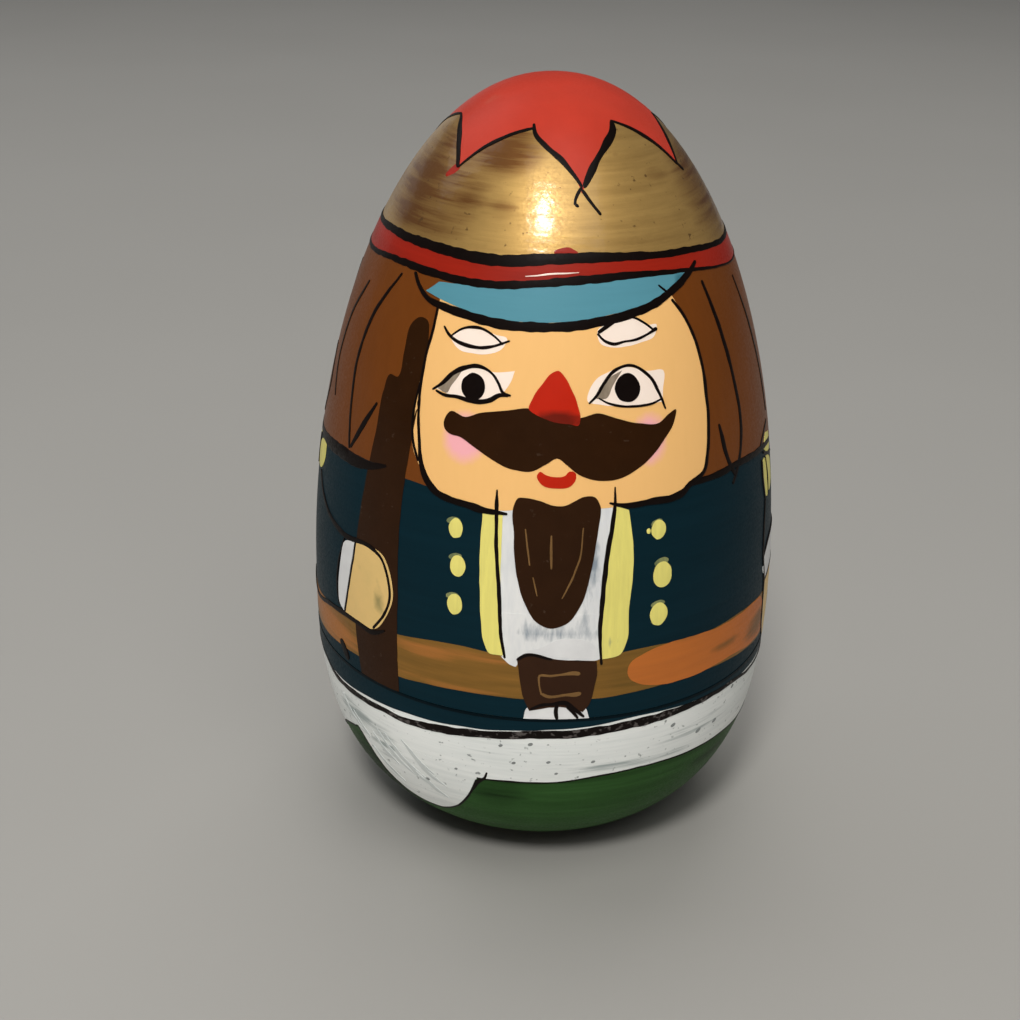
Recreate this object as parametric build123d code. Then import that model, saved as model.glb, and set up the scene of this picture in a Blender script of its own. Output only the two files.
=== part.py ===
from build123d import *
import os
from math import asin, cos, pi, sin

# Painted wooden nesting dolls, egg shaped: four hollow dolls, each a base and a cap that
# push together, and a solid doll in the middle. Millimetres, +Z up. The origin is the
# middle of the outer doll's foot, and the painted faces look along -Y.

# The outer doll's outside form: an egg that is widest below its middle.
HEIGHT = 115.0
MAX_RADIUS = 35.6
WIDEST_Z = 40.6
SEAM_Z = 31.4
FOOT_CUT = 1.9  # how much of the egg's end is turned off, to leave a flat foot
CROWN_POWER = 1.92
CROWN_ROUNDNESS = 2.13
FOOT_POWER = 3.02
FOOT_ROUNDNESS = 2.45

# The nest, outermost first. Every doll has the outer doll's form, at its own height.
HOLLOW_DOLLS = (("outer", HEIGHT), ("second", 92.0), ("third", 73.0), ("fourth", 57.0))
INNERMOST_HEIGHT = 41.0
REST_GAP = 0.1  # from a doll's foot to the floor that it stands on

# Turning: a wall has a least thickness and grows with the doll.
LEAST_WALL = 1.9
WALL_PER_HEIGHT = 0.021
FLOOR_PER_WALL = 1.15
ROOF_PER_WALL = 1.4

# The joint: a neck on the base goes into a socket in the cap.
RIM_SHARE = 0.51  # the cap's rim takes this share of the wall, and the neck the rest
NECK_PER_HEIGHT = 0.078
NECK_CLEARANCE = 0.1  # radial
SEAM_GAP = 0.15
SOCKET_SPARE = 0.4  # how much deeper the socket is than the neck is tall
RIM_CHAMFER = 0.3
NECK_CHAMFER = 0.5

OUTLINE_STEPS = 12  # spans of the curve from the widest ring to the crown, or to the foot
BEYOND = 60.0  # further out than any doll reaches
OVERLAP = 1.0  # how far a cutting or joining form runs past the surface that it meets


def egg_outline(radius_scale, height_scale, foot_z):
    """The closed half section of an egg, beside the Z axis and standing on foot_z."""

    def place(r, z):
        return (r * radius_scale, 0, foot_z + z * height_scale)

    def crown_point(t):
        rise = (HEIGHT - WIDEST_Z) * sin(t) ** (2 / CROWN_POWER)
        return place(MAX_RADIUS * max(cos(t), 0) ** (2 / CROWN_ROUNDNESS), WIDEST_Z + rise)

    def foot_point(t):
        drop = (WIDEST_Z + FOOT_CUT) * sin(t) ** (2 / FOOT_POWER)
        return place(MAX_RADIUS * cos(t) ** (2 / FOOT_ROUNDNESS), WIDEST_Z - drop)

    foot_turn = asin((WIDEST_Z / (WIDEST_Z + FOOT_CUT)) ** (FOOT_POWER / 2))
    crown_points = [crown_point(pi / 2 * i / OUTLINE_STEPS) for i in range(OUTLINE_STEPS)]
    tip = place(0, HEIGHT)
    foot_points = [foot_point(foot_turn * i / OUTLINE_STEPS) for i in range(OUTLINE_STEPS + 1)]
    crown = Spline(crown_points + [tip], tangents=[(0, 0, 1), (-1, 0, 0)])
    foot_direction = Vector(*foot_points[-1]) - Vector(*foot_points[-2])
    lower = Spline(foot_points, tangents=[(0, 0, -1), foot_direction])
    foot_middle = place(0, 0)
    return make_face([crown, lower, Line(foot_points[-1], foot_middle), Line(foot_middle, tip)])


def form_radius(z):
    """The outer doll's radius at a height between its foot and its widest ring."""
    drop = (WIDEST_Z - z) / (WIDEST_Z + FOOT_CUT)
    return MAX_RADIUS * (1 - drop**FOOT_POWER) ** (1 / FOOT_ROUNDNESS)


def section(*points):
    """A straight-sided half section, from (radius, height) points."""
    corners = [(r, 0, z) for r, z in points]
    return make_face(Polyline(*corners, close=True))


def turned(half_section):
    """The half section spun round the Z axis, as on a lathe."""
    return revolve(half_section, Axis.Z, 360)


def wall_of(height):
    return LEAST_WALL + WALL_PER_HEIGHT * height


def hollow_doll(height, foot_z):
    """A doll's base and cap, standing on foot_z."""
    scale = height / HEIGHT
    wall = wall_of(height)
    radius = MAX_RADIUS * scale
    floor = FLOOR_PER_WALL * wall
    hollow_height = height - floor - ROOF_PER_WALL * wall
    body = egg_outline(scale, scale, foot_z)
    hollow = egg_outline((radius - wall) / MAX_RADIUS, hollow_height / HEIGHT, foot_z + floor)

    seam_z = foot_z + SEAM_Z * scale
    seam_radius = form_radius(SEAM_Z) * scale
    socket_radius = seam_radius - RIM_SHARE * wall
    neck_radius = socket_radius - NECK_CLEARANCE
    neck_top = seam_z + NECK_PER_HEIGHT * height
    under_seam = seam_z - SEAM_GAP / 2
    over_seam = seam_z + SEAM_GAP / 2
    rim_start = seam_radius - RIM_CHAMFER
    slope = BEYOND - rim_start

    below = section(
        (0, foot_z - OVERLAP),
        (BEYOND, foot_z - OVERLAP),
        (BEYOND, under_seam - slope),
        (rim_start, under_seam),
        (0, under_seam),
    )
    neck = section(
        (0, under_seam - OVERLAP),
        (neck_radius, under_seam - OVERLAP),
        (neck_radius, neck_top - NECK_CHAMFER),
        (neck_radius - NECK_CHAMFER, neck_top),
        (0, neck_top),
    )
    above = section(
        (0, over_seam),
        (rim_start, over_seam),
        (BEYOND, over_seam + slope),
        (BEYOND, foot_z + height + OVERLAP),
        (0, foot_z + height + OVERLAP),
    )
    socket_top = neck_top + SOCKET_SPARE
    socket = section(
        (0, over_seam - OVERLAP),
        (socket_radius + RIM_CHAMFER + OVERLAP, over_seam - OVERLAP),
        (socket_radius, over_seam + RIM_CHAMFER),
        (socket_radius, socket_top),
        (0, socket_top),
    )
    base = turned((body & below) + neck - hollow)
    cap = turned((body & above) - hollow - socket)
    return base, cap


os.makedirs("parts", exist_ok=True)
foot_z = 0.0
for name, height in HOLLOW_DOLLS:
    base, cap = hollow_doll(height, foot_z)
    export_step(base, f"parts/{name}_base.step")
    export_step(cap, f"parts/{name}_cap.step")
    foot_z += FLOOR_PER_WALL * wall_of(height) + REST_GAP
innermost_scale = INNERMOST_HEIGHT / HEIGHT
innermost = turned(egg_outline(innermost_scale, innermost_scale, foot_z))
export_step(innermost, "parts/innermost_doll.step")
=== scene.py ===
"""A nest of egg-shaped wooden dolls, painted by hand as toy soldiers and lacquered.

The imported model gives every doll's foot, seam and height. The wood is turned here as
shells a little under the model's outside, and every coat and brush stroke is a thin solid
of paint that fills that depth, so the painted doll is exactly as large as the model.
The painting is laid out once, on a full-size doll: angles are in degrees round from the
middle of the face, positive to the viewer's right, and heights in millimetres.
"""
from math import atan2, ceil, cos, degrees, hypot, radians, sin, tau

import bpy
import numpy as np
from mathutils import Matrix, Vector, noise
from mathutils.geometry import delaunay_2d_cdt


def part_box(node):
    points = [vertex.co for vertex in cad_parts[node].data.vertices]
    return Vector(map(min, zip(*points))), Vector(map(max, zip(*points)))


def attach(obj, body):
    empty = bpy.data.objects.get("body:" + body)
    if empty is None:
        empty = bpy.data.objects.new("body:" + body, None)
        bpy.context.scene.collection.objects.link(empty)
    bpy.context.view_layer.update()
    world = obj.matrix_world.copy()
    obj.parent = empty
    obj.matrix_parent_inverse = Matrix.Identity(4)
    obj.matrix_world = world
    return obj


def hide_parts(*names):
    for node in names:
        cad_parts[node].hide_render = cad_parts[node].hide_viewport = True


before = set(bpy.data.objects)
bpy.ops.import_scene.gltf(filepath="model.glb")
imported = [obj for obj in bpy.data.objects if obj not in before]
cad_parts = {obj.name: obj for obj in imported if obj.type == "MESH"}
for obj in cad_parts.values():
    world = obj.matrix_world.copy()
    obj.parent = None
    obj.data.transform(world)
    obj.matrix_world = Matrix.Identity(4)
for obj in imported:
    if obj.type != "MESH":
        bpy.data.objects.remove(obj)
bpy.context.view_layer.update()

MM = 0.001
noise.seed_set(7)  # so the waver of the hand is the same in every run

# ---------------------------------------------------------------- the egg's form
# The same driving dimensions as the model's, in millimetres on the full-size doll.
HEIGHT = 115.0
MAX_RADIUS = 35.6
WIDEST_Z = 40.6
FOOT_CUT = 1.9
CROWN_POWER = 1.92
CROWN_ROUNDNESS = 2.13
FOOT_POWER = 3.02
FOOT_ROUNDNESS = 2.45
LEAST_WALL = 1.9
WALL_PER_HEIGHT = 0.021
FLOOR_PER_WALL = 1.15
ROOF_PER_WALL = 1.4
RIM_SHARE = 0.51
NECK_CLEARANCE = 0.1
SOCKET_SPARE = 0.4
RIM_CHAMFER = 0.3
NECK_CHAMFER = 0.5
SEAM_GAP = 0.15

WOOD_DEPTH = 0.30  # how far the bare wood lies under the lacquered outside
COAT_STEP = 0.036  # thickness of one coat of paint
STROKE_CROWN = 0.03  # a brush line is this much higher along its middle

WAVER_REACH = 2.2  # a hand's waver comes and goes over this distance
SLOPE_STEP = 0.01  # half the height over which a slope is measured

# Meshes: how far apart their points lie, and how they are smoothed.
SIDE_MM_PER_DEGREE = 0.58
FILL_SPACING = 1.5
EDGE_SPACING = 0.45
GRID_ROW = 0.87  # a row of near-equilateral triangles is this high, in spacings
CLEAR_OF_EDGE = 0.45  # inner points keep this far from an outline, in spacings
BLOB_SIDES = 14
RING_COLUMNS = 240
DOME_ROWS = 36
LATHE_COLUMNS = 192
SHARP_ANGLE = 35

# The lathe's work on the bare wood.
TURNED_ROW = 0.45  # height of a row of faces inside a shell
OUTER_ROW = 1.0  # and outside, on the full-size doll
FOOT_INSET = 0.6  # the flat foot's edge is cut in by this much
FOOT_RISE = 0.5  # and rises by this much, on the full-size doll
CROWN_SHARE = 0.93  # from this share of its height up, a doll's rows draw in to the tip
CROWN_ROWS = 12


def form_radius(z):
    """The egg's radius at a height."""
    if z >= WIDEST_Z:
        rise = min((z - WIDEST_Z) / (HEIGHT - WIDEST_Z), 1)
        return MAX_RADIUS * (1 - rise**CROWN_POWER) ** (1 / CROWN_ROUNDNESS)
    drop = (WIDEST_Z - z) / (WIDEST_Z + FOOT_CUT)
    return MAX_RADIUS * (1 - drop**FOOT_POWER) ** (1 / FOOT_ROUNDNESS)


def crown_height(r):
    """The height of the egg's upper part at a radius."""
    share = (1 - min(r / MAX_RADIUS, 1) ** CROWN_ROUNDNESS) ** (1 / CROWN_POWER)
    return WIDEST_Z + (HEIGHT - WIDEST_Z) * share


class Side:
    """A chart of the egg's side: degrees round as a distance, and height."""

    @staticmethod
    def flat(angle, z):
        return (angle * SIDE_MM_PER_DEGREE, z)

    @staticmethod
    def place(u, v, lift):
        a = radians(u / SIDE_MM_PER_DEGREE)
        slope = (form_radius(v + SLOPE_STEP) - form_radius(v - SLOPE_STEP)) / (2 * SLOPE_STEP)
        steep = hypot(1, slope)
        r = form_radius(v) + lift / steep
        return Vector((r * sin(a), -r * cos(a), v - lift * slope / steep))

    @staticmethod
    def find(point, near):
        angle = degrees(atan2(point.x, -point.y))
        turns = round((near / SIDE_MM_PER_DEGREE - angle) / 360)
        return ((angle + 360 * turns) * SIDE_MM_PER_DEGREE, point.z)


class Crown:
    """A chart of the egg's top, seen from above."""

    @staticmethod
    def flat(angle, z):
        r = form_radius(z)
        return (r * sin(radians(angle)), -r * cos(radians(angle)))

    @staticmethod
    def place(u, v, lift):
        r = hypot(u, v)
        slope = (crown_height(r + SLOPE_STEP) - crown_height(abs(r - SLOPE_STEP))) / (2 * SLOPE_STEP)
        steep = hypot(1, slope)
        grown = 1 - lift * slope / steep / max(r, SLOPE_STEP)
        return Vector((u * grown, v * grown, crown_height(r) + lift / steep))

    @staticmethod
    def find(point, near):
        return (point.x, point.y)


# ---------------------------------------------------------------- hand-drawn curves
CORNER = "corner"


def curve(points, closed=False, spacing=EDGE_SPACING):
    """Points every so often along a smooth curve through the given ones.

    A point may end with CORNER, where the curve turns sharply. The points' other values,
    such as a line's width, are carried along."""
    corners = [p[-1] == CORNER for p in points]
    given = [np.array(p[:-1] if corner else p, float) for p, corner in zip(points, corners)]
    count = len(given)
    spans = count if closed else count - 1
    steps = [max(np.linalg.norm((given[(i + 1) % count] - given[i])[:2]), 1e-6) for i in range(spans)]

    def ahead(i):
        return (given[(i + 1) % count] - given[i % count]) / steps[i % spans]

    def tangent(i, leaving):
        inner = closed or 0 < i < count - 1
        if corners[i % count] or not inner:
            return ahead(i if leaving else i - 1)
        before, after = steps[(i - 1) % spans], steps[i % spans]
        return (ahead(i - 1) * after + ahead(i) * before) / (before + after)

    out = []
    for i in range(spans):
        start, end = given[i], given[(i + 1) % count]
        t0, t1 = tangent(i, True) * steps[i], tangent(i + 1, False) * steps[i]
        pieces = max(1, ceil(steps[i] / spacing))
        for k in range(pieces):
            t = k / pieces
            out.append(
                (2 * t**3 - 3 * t**2 + 1) * start + (t**3 - 2 * t**2 + t) * t0
                + (3 * t**2 - 2 * t**3) * end + (t**3 - t**2) * t1
            )
    if not closed:
        out.append(given[-1])
    return np.array(out)


def drawn(points, chart, closed=False):
    """A curve in a chart's own flat distances, from (angle, height, ...) points."""
    flat = []
    for p in points:
        flat.append(chart.flat(p[0], p[1]) + tuple(p[2:]))
    return curve(flat, closed)


def unsteady(line, amount, seed=0.0):
    """The line with the small waver of a hand."""
    out = line.copy()
    for p in out:
        shake = noise.noise_vector(Vector((p[0] / WAVER_REACH, p[1] / WAVER_REACH, seed)))
        p[0] += shake.x * amount
        p[1] += shake.y * amount
    return out


def round_edge(points):
    """A height for every angle round the doll, through the given (angle, height) points."""
    line = curve([(p[0], p[1]) for p in points], spacing=2.0)
    angles, heights = line[:, 0], line[:, 1]

    def height_at(angle):
        wrapped = (angle - angles[0]) % 360 + angles[0]
        waver = 0.10 * noise.noise(Vector((cos(radians(angle)) * 9, sin(radians(angle)) * 9, heights[0])))
        return float(np.interp(wrapped, np.append(angles, angles[0] + 360),
                               np.append(heights, heights[0]))) + waver

    return height_at


def level_lift(level):
    """How far the top of a coat lies over the egg's surface."""
    return -WOOD_DEPTH + COAT_STEP * (level + 1)


# ---------------------------------------------------------------- paint as geometry
class Coat:
    """All the paint of one colour on one shell: its corners and faces, full size."""

    def __init__(self):
        self.corners = []
        self.faces = []

    def add(self, corners, faces):
        start = len(self.corners)
        self.corners += corners
        self.faces += [tuple(start + i for i in face) for face in faces]


def closed_slab(coat, top, bottom, faces):
    """A thin solid from two matching sheets of corners and the upper sheet's faces."""
    count = len(top)
    edges = {}
    for face in faces:
        for a, b in zip(face, face[1:] + face[:1]):
            edges[(a, b)] = True
    rim = [(a, b) for a, b in edges if (b, a) not in edges]
    under = [tuple(i + count for i in reversed(face)) for face in faces]
    sides = [(b, a, a + count, b + count) for a, b in rim]
    coat.add(top + bottom, list(faces) + under + sides)


def inside(points, outline):
    """Which points lie inside a closed outline, by counting crossings."""
    x, y = points[:, 0:1], points[:, 1:2]
    x0, y0 = outline[:, 0], outline[:, 1]
    x1, y1 = np.roll(x0, -1), np.roll(y0, -1)
    crossed = (y0 > y) != (y1 > y)
    at = x0 + (y - y0) * (x1 - x0) / np.where(y1 == y0, 1, y1 - y0)
    return (crossed & (x < at)).sum(axis=1) % 2 == 1


def patch(coat, points, level, chart=Side, waver=0.09, dome=0.0, spacing=FILL_SPACING):
    """A filled shape inside a hand-drawn outline of (angle, height) points."""
    outline = unsteady(drawn(points, chart, closed=True), waver)[:, :2]
    low, high = outline.min(axis=0), outline.max(axis=0)
    rows = []
    for row, y in enumerate(np.arange(low[1], high[1], spacing * GRID_ROW)):
        xs = np.arange(low[0] + (row % 2) * spacing / 2, high[0], spacing)
        rows.append(np.column_stack([xs, np.full(len(xs), y)]))
    grid = np.concatenate(rows)
    grid = grid[inside(grid, outline)]
    if len(grid):
        nearest = np.linalg.norm(grid[:, None] - outline[None], axis=2).min(axis=1)
        grid = grid[nearest > CLEAR_OF_EDGE * spacing]
    flat = [Vector(p) for p in outline] + [Vector(p) for p in grid]
    rim = [list(range(len(outline)))]
    spots, _, faces, _, _, _ = delaunay_2d_cdt(flat, [], rim, 1, 1e-7)
    middle = (low + high) / 2
    half = np.maximum((high - low) / 2, 1e-6)
    top = []
    for p in spots:
        away = hypot((p.x - middle[0]) / half[0], (p.y - middle[1]) / half[1])
        top.append(chart.place(p.x, p.y, level_lift(level) + dome * max(0, 1 - away**2)))
    bottom = [chart.place(p.x, p.y, -WOOD_DEPTH - COAT_STEP) for p in spots]
    turned = []
    for face in faces:
        a, b, c = (spots[i] for i in face[:3])
        left = (b - a).cross(c - a) > 0
        turned.append(tuple(face) if left else tuple(reversed(face)))
    closed_slab(coat, top, bottom, turned)


def ring(coat, low, high, level):
    """A coat all the way round, between two edges: heights, or heights by angle."""
    low_at = low if callable(low) else lambda angle: low
    high_at = high if callable(high) else lambda angle: high
    angles = [360 * i / RING_COLUMNS - 180 for i in range(RING_COLUMNS)]
    tallest = max(high_at(a) - low_at(a) for a in angles)
    rows = max(2, ceil(tallest / FILL_SPACING))
    sheets = []
    for lift in (level_lift(level), -WOOD_DEPTH - COAT_STEP):
        sheet = []
        for row in range(rows + 1):
            for angle in angles:
                z = low_at(angle) + (high_at(angle) - low_at(angle)) * row / rows
                sheet.append(Side.place(angle * SIDE_MM_PER_DEGREE, z, lift))
        sheets.append(sheet)
    faces = []
    for row in range(rows):
        for i in range(RING_COLUMNS):
            after = (i + 1) % RING_COLUMNS
            here, above = row * RING_COLUMNS, (row + 1) * RING_COLUMNS
            faces.append((here + i, here + after, above + after, above + i))
    closed_slab(coat, sheets[0], sheets[1], faces)


def dome(coat, low, level):
    """A coat over the whole crown, down to a height."""
    radius = form_radius(low)
    sheets = []
    for lift in (level_lift(level), -WOOD_DEPTH - COAT_STEP):
        sheet = []
        for row in range(DOME_ROWS):
            r = radius * (1 - row / DOME_ROWS)
            for i in range(RING_COLUMNS):
                a = tau * i / RING_COLUMNS
                sheet.append(Crown.place(r * sin(a), -r * cos(a), lift))
        sheet.append(Crown.place(0, 0, lift))
        sheets.append(sheet)
    faces = []
    for row in range(DOME_ROWS):
        for i in range(RING_COLUMNS):
            after = (i + 1) % RING_COLUMNS
            here, above = row * RING_COLUMNS, (row + 1) * RING_COLUMNS
            if row == DOME_ROWS - 1:
                faces.append((here + i, here + after, above))
            else:
                faces.append((here + i, here + after, above + after, above + i))
    closed_slab(coat, sheets[0], sheets[1], faces)


def round_ends(line):
    """The line with more points near its ends, where its width draws in to a round tip."""
    steps = np.linalg.norm(np.diff(line[:, :2], axis=0), axis=1)
    along = np.concatenate([[0], np.cumsum(steps)])
    length = along[-1]
    first, last = line[0, 2] / 2, line[-1, 2] / 2
    shares = np.array((0.0, 0.08, 0.3, 0.62, 1.0))
    near_start = shares * min(first, length / 2)
    near_end = length - shares * min(last, length / 2)
    places = np.unique(np.round(np.concatenate([along, near_start, near_end]), 4))
    out = np.column_stack([np.interp(places, along, column) for column in line.T])
    for row, place in zip(out, places):
        for half, from_end in ((first, place), (last, length - place)):
            share = min(max(from_end / half, 0.0), 1.0)
            row[2] *= max(0.12, (1 - (1 - share) ** 2) ** 0.5)
    return out


def stroke(coat, points, level, chart=Side, waver=0.07, seed=0.0):
    """A brush line through (angle, height, width) points, higher along its middle."""
    line = round_ends(unsteady(drawn(points, chart), waver, seed))
    middles = [chart.place(p[0], p[1], 0) for p in line]
    count = len(line)
    across = (-1.0, -0.82, 0.0, 0.82, 1.0)
    lifts = (-WOOD_DEPTH, level_lift(level), level_lift(level) + STROKE_CROWN, level_lift(level),
             -WOOD_DEPTH)
    corners = []
    for i in range(count):
        before = middles[max(i - 1, 0)]
        after = middles[min(i + 1, count - 1)]
        outward = chart.place(line[i][0], line[i][1], 1.0) - middles[i]
        sideways = outward.cross(after - before).normalized()
        pressure = 1 + 0.22 * noise.noise(Vector((line[i][0] / 1.6, line[i][1] / 1.6, 7 + seed)))
        half = line[i][2] / 2 * pressure
        for share, lift in zip(across, lifts):
            u, v = chart.find(middles[i] - sideways * half * share, line[i][0])
            corners.append(chart.place(u, v, lift))
    size = len(across)
    faces = []
    for i in range(count - 1):
        here, there = i * size, (i + 1) * size
        for k in range(size):
            after = (k + 1) % size
            faces.append((here + k, here + after, there + after, there + k))
    faces.append(tuple(reversed(range(size))))
    faces.append(tuple((count - 1) * size + k for k in range(size)))
    coat.add(corners, faces)


def blob(coat, angle, z, width, height, level, bulge=0.05, lean=0.0, seed=0.0):
    """A round dab of paint: width and height in millimetres."""
    points = []
    for i in range(BLOB_SIDES):
        a = tau * i / BLOB_SIDES
        rough = 1 + 0.09 * noise.noise(Vector((cos(a) * 1.7, sin(a) * 1.7, seed)))
        x = cos(a) * width / 2 * rough
        y = sin(a) * height / 2 * rough
        across = (x + y * lean) / (radians(1) * form_radius(z))
        points.append((angle + across, z + y))
    patch(coat, points, level, waver=0.0, dome=bulge, spacing=min(FILL_SPACING, width / 3))


# ---------------------------------------------------------------- materials
def node(tree, kind, inputs=None, **settings):
    """A shader node with its settings, and its inputs linked or set."""
    made = tree.nodes.new(kind)
    for name, value in settings.items():
        setattr(made, name, value)
    for name, value in (inputs or {}).items():
        if isinstance(value, bpy.types.NodeSocket):
            tree.links.new(value, made.inputs[name])
        else:
            made.inputs[name].default_value = value
    return made


def texture(tree, stretch, detail=4.0, roughness=0.6, warp=0.0):
    """Noise over the object, from 0 to 1; stretch is its size in 1/m along X, Y and Z."""
    place = node(tree, "ShaderNodeTexCoord").outputs["Object"]
    scaled = node(tree, "ShaderNodeMapping", {"Vector": place, "Scale": stretch}).outputs["Vector"]
    sizes = {"Vector": scaled, "Scale": 1.0, "Detail": detail, "Roughness": roughness, "Distortion": warp}
    return node(tree, "ShaderNodeTexNoise", sizes).outputs["Fac"]


def between(tree, value, low, high, out_low=0.0, out_high=1.0):
    """The value's stretch from low to high, spread over another range."""
    sizes = {"Value": value, "From Min": low, "From Max": high, "To Min": out_low, "To Max": out_high}
    return node(tree, "ShaderNodeMapRange", sizes).outputs["Result"]


def blend(tree, share, first, second):
    """Two colours mixed; each is a socket or three numbers."""
    mix = node(tree, "ShaderNodeMix", data_type="RGBA")
    for index, value in ((0, share), (6, first), (7, second)):
        if isinstance(value, bpy.types.NodeSocket):
            tree.links.new(value, mix.inputs[index])
        elif index:
            mix.inputs[index].default_value = (*value, 1)
        else:
            mix.inputs[index].default_value = value
    return mix.outputs[2]


def times(tree, a, b):
    """The product of two values of a material."""
    return node(tree, "ShaderNodeMath", {0: a, 1: b}, operation="MULTIPLY").outputs[0]


def plus(tree, a, b):
    """The sum of two values of a material."""
    return node(tree, "ShaderNodeMath", {0: a, 1: b}, operation="ADD").outputs[0]


def new_material(name):
    """A material with its nodes and its shader."""
    material = bpy.data.materials.new(name)
    material.use_nodes = True
    tree = material.node_tree
    return material, tree, tree.nodes["Principled BSDF"]


# The brush's grain, as a noise's size in 1/m along X, Y and Z.
ALONG = (55, 55, 1100)  # streaks that run round the doll
DOWN = (900, 900, 60)  # streaks that run down it
FINE_DOWN = (1500, 1500, 90)
DRY_DOWN = (700, 700, 150)
EVEN = (260, 260, 260)
TONE_SPREAD = 0.32  # a contrast of 1 spreads the two tones over this much of the noise
BRISTLE_RELIEF = 0.00006
LACQUER_RELIEF = 0.00012
TOOL_RELIEF = 0.00008


def paint(name, light, dark, accent=None, grain=EVEN, contrast=0.5, specks=0.0,
          speck_colour=(0.05, 0.05, 0.05), rough=(0.36, 0.55), metal=0.0, relief=0.5, gloss=0.12,
          ragged=0.5, shine=0.12, ripple=0.4, blur=0.13):
    """Brushed paint under clear lacquer: two tones along the brush, an accent where the piece's
    own "shade" says so, fine specks, and the relief that the bristles leave."""
    material, tree, shader = new_material(name)
    streaks = texture(tree, grain, detail=5.0)
    clouds = texture(tree, (70, 70, 90), detail=3.0)
    fine = texture(tree, (2600, 2600, 2600), detail=2.0)
    tone = plus(tree, times(tree, streaks, 0.65), times(tree, clouds, 0.35))
    share = between(tree, tone, 0.5 - TONE_SPREAD * contrast, 0.5 + TONE_SPREAD * contrast)
    colour = blend(tree, share, dark, light)
    if accent:
        spots = node(tree, "ShaderNodeAttribute", attribute_name="shade").outputs["Fac"]
        broken = plus(tree, spots, times(tree, plus(tree, streaks, -0.5), 2.0 * ragged))
        colour = blend(tree, times(tree, between(tree, broken, 0.25, 0.75), between(tree, spots, 0.0, 0.3)),
                       colour, accent)
    if specks:
        seeds = texture(tree, (900, 900, 1100), detail=2.0)
        found = between(tree, seeds, 0.70 - 0.06 * specks, 0.78 - 0.06 * specks)
        colour = blend(tree, times(tree, found, 0.8), colour, speck_colour)
    tree.links.new(colour, shader.inputs["Base Color"])
    tree.links.new(between(tree, fine, 0.3, 0.7, *rough), shader.inputs["Roughness"])
    height = plus(tree, times(tree, streaks, 0.7), times(tree, fine, 0.12))
    bump = node(tree, "ShaderNodeBump", {"Height": height, "Strength": relief, "Distance": BRISTLE_RELIEF})
    tree.links.new(bump.outputs["Normal"], shader.inputs["Normal"])
    waves = plus(tree, texture(tree, (260, 260, 320), detail=3.0),
                 times(tree, texture(tree, (20, 20, 700), detail=1.0), 0.6))
    lacquer = node(tree, "ShaderNodeBump", {"Height": waves, "Strength": ripple,
                                            "Distance": LACQUER_RELIEF})
    tree.links.new(lacquer.outputs["Normal"], shader.inputs["Coat Normal"])
    shader.inputs["Metallic"].default_value = metal
    shader.inputs["Specular IOR Level"].default_value = shine
    shader.inputs["Coat Weight"].default_value = gloss
    shader.inputs["Coat Roughness"].default_value = blur
    return material


def bare_wood():
    """Turned lime wood: pale, with fine fibres down the doll and the tool's rings round it."""
    material, tree, shader = new_material("bare_wood")
    fibres = texture(tree, (1400, 1400, 45), detail=6.0, roughness=0.65)
    growth = texture(tree, (110, 110, 12), detail=3.0, warp=0.6)
    rings = texture(tree, (30, 30, 1500), detail=3.0)
    tone = plus(tree, times(tree, fibres, 0.5), times(tree, growth, 0.5))
    pale = blend(tree, between(tree, tone, 0.38, 0.62), (0.52, 0.34, 0.17), (0.74, 0.56, 0.34))
    scorched = blend(tree, between(tree, rings, 0.55, 0.8, 0.0, 0.35), pale, (0.40, 0.24, 0.11))
    tree.links.new(scorched, shader.inputs["Base Color"])
    tree.links.new(between(tree, fibres, 0.3, 0.7, 0.55, 0.75), shader.inputs["Roughness"])
    height = plus(tree, times(tree, rings, 0.8), times(tree, fibres, 0.4))
    bump = node(tree, "ShaderNodeBump", {"Height": height, "Strength": 0.6, "Distance": TOOL_RELIEF})
    tree.links.new(bump.outputs["Normal"], shader.inputs["Normal"])
    return material


def floor_material():
    """The pale grey floor's faint clouds."""
    material, tree, shader = new_material("pale_floor")
    clouds = texture(tree, (6, 6, 6), detail=2.0)
    colour = blend(tree, clouds, (0.42, 0.41, 0.385), (0.46, 0.45, 0.425))
    tree.links.new(colour, shader.inputs["Base Color"])
    shader.inputs["Roughness"].default_value = 0.55
    return material


GOLD = (0.66, 0.42, 0.135)
DARK_GOLD = (0.27, 0.152, 0.042)
# the gold's accent: darker coppery patches, and painted shade toward the crown's sides
COPPER_AND_SHADE = (0.175, 0.072, 0.018)
INK = (0.006, 0.003, 0.0025)


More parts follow.
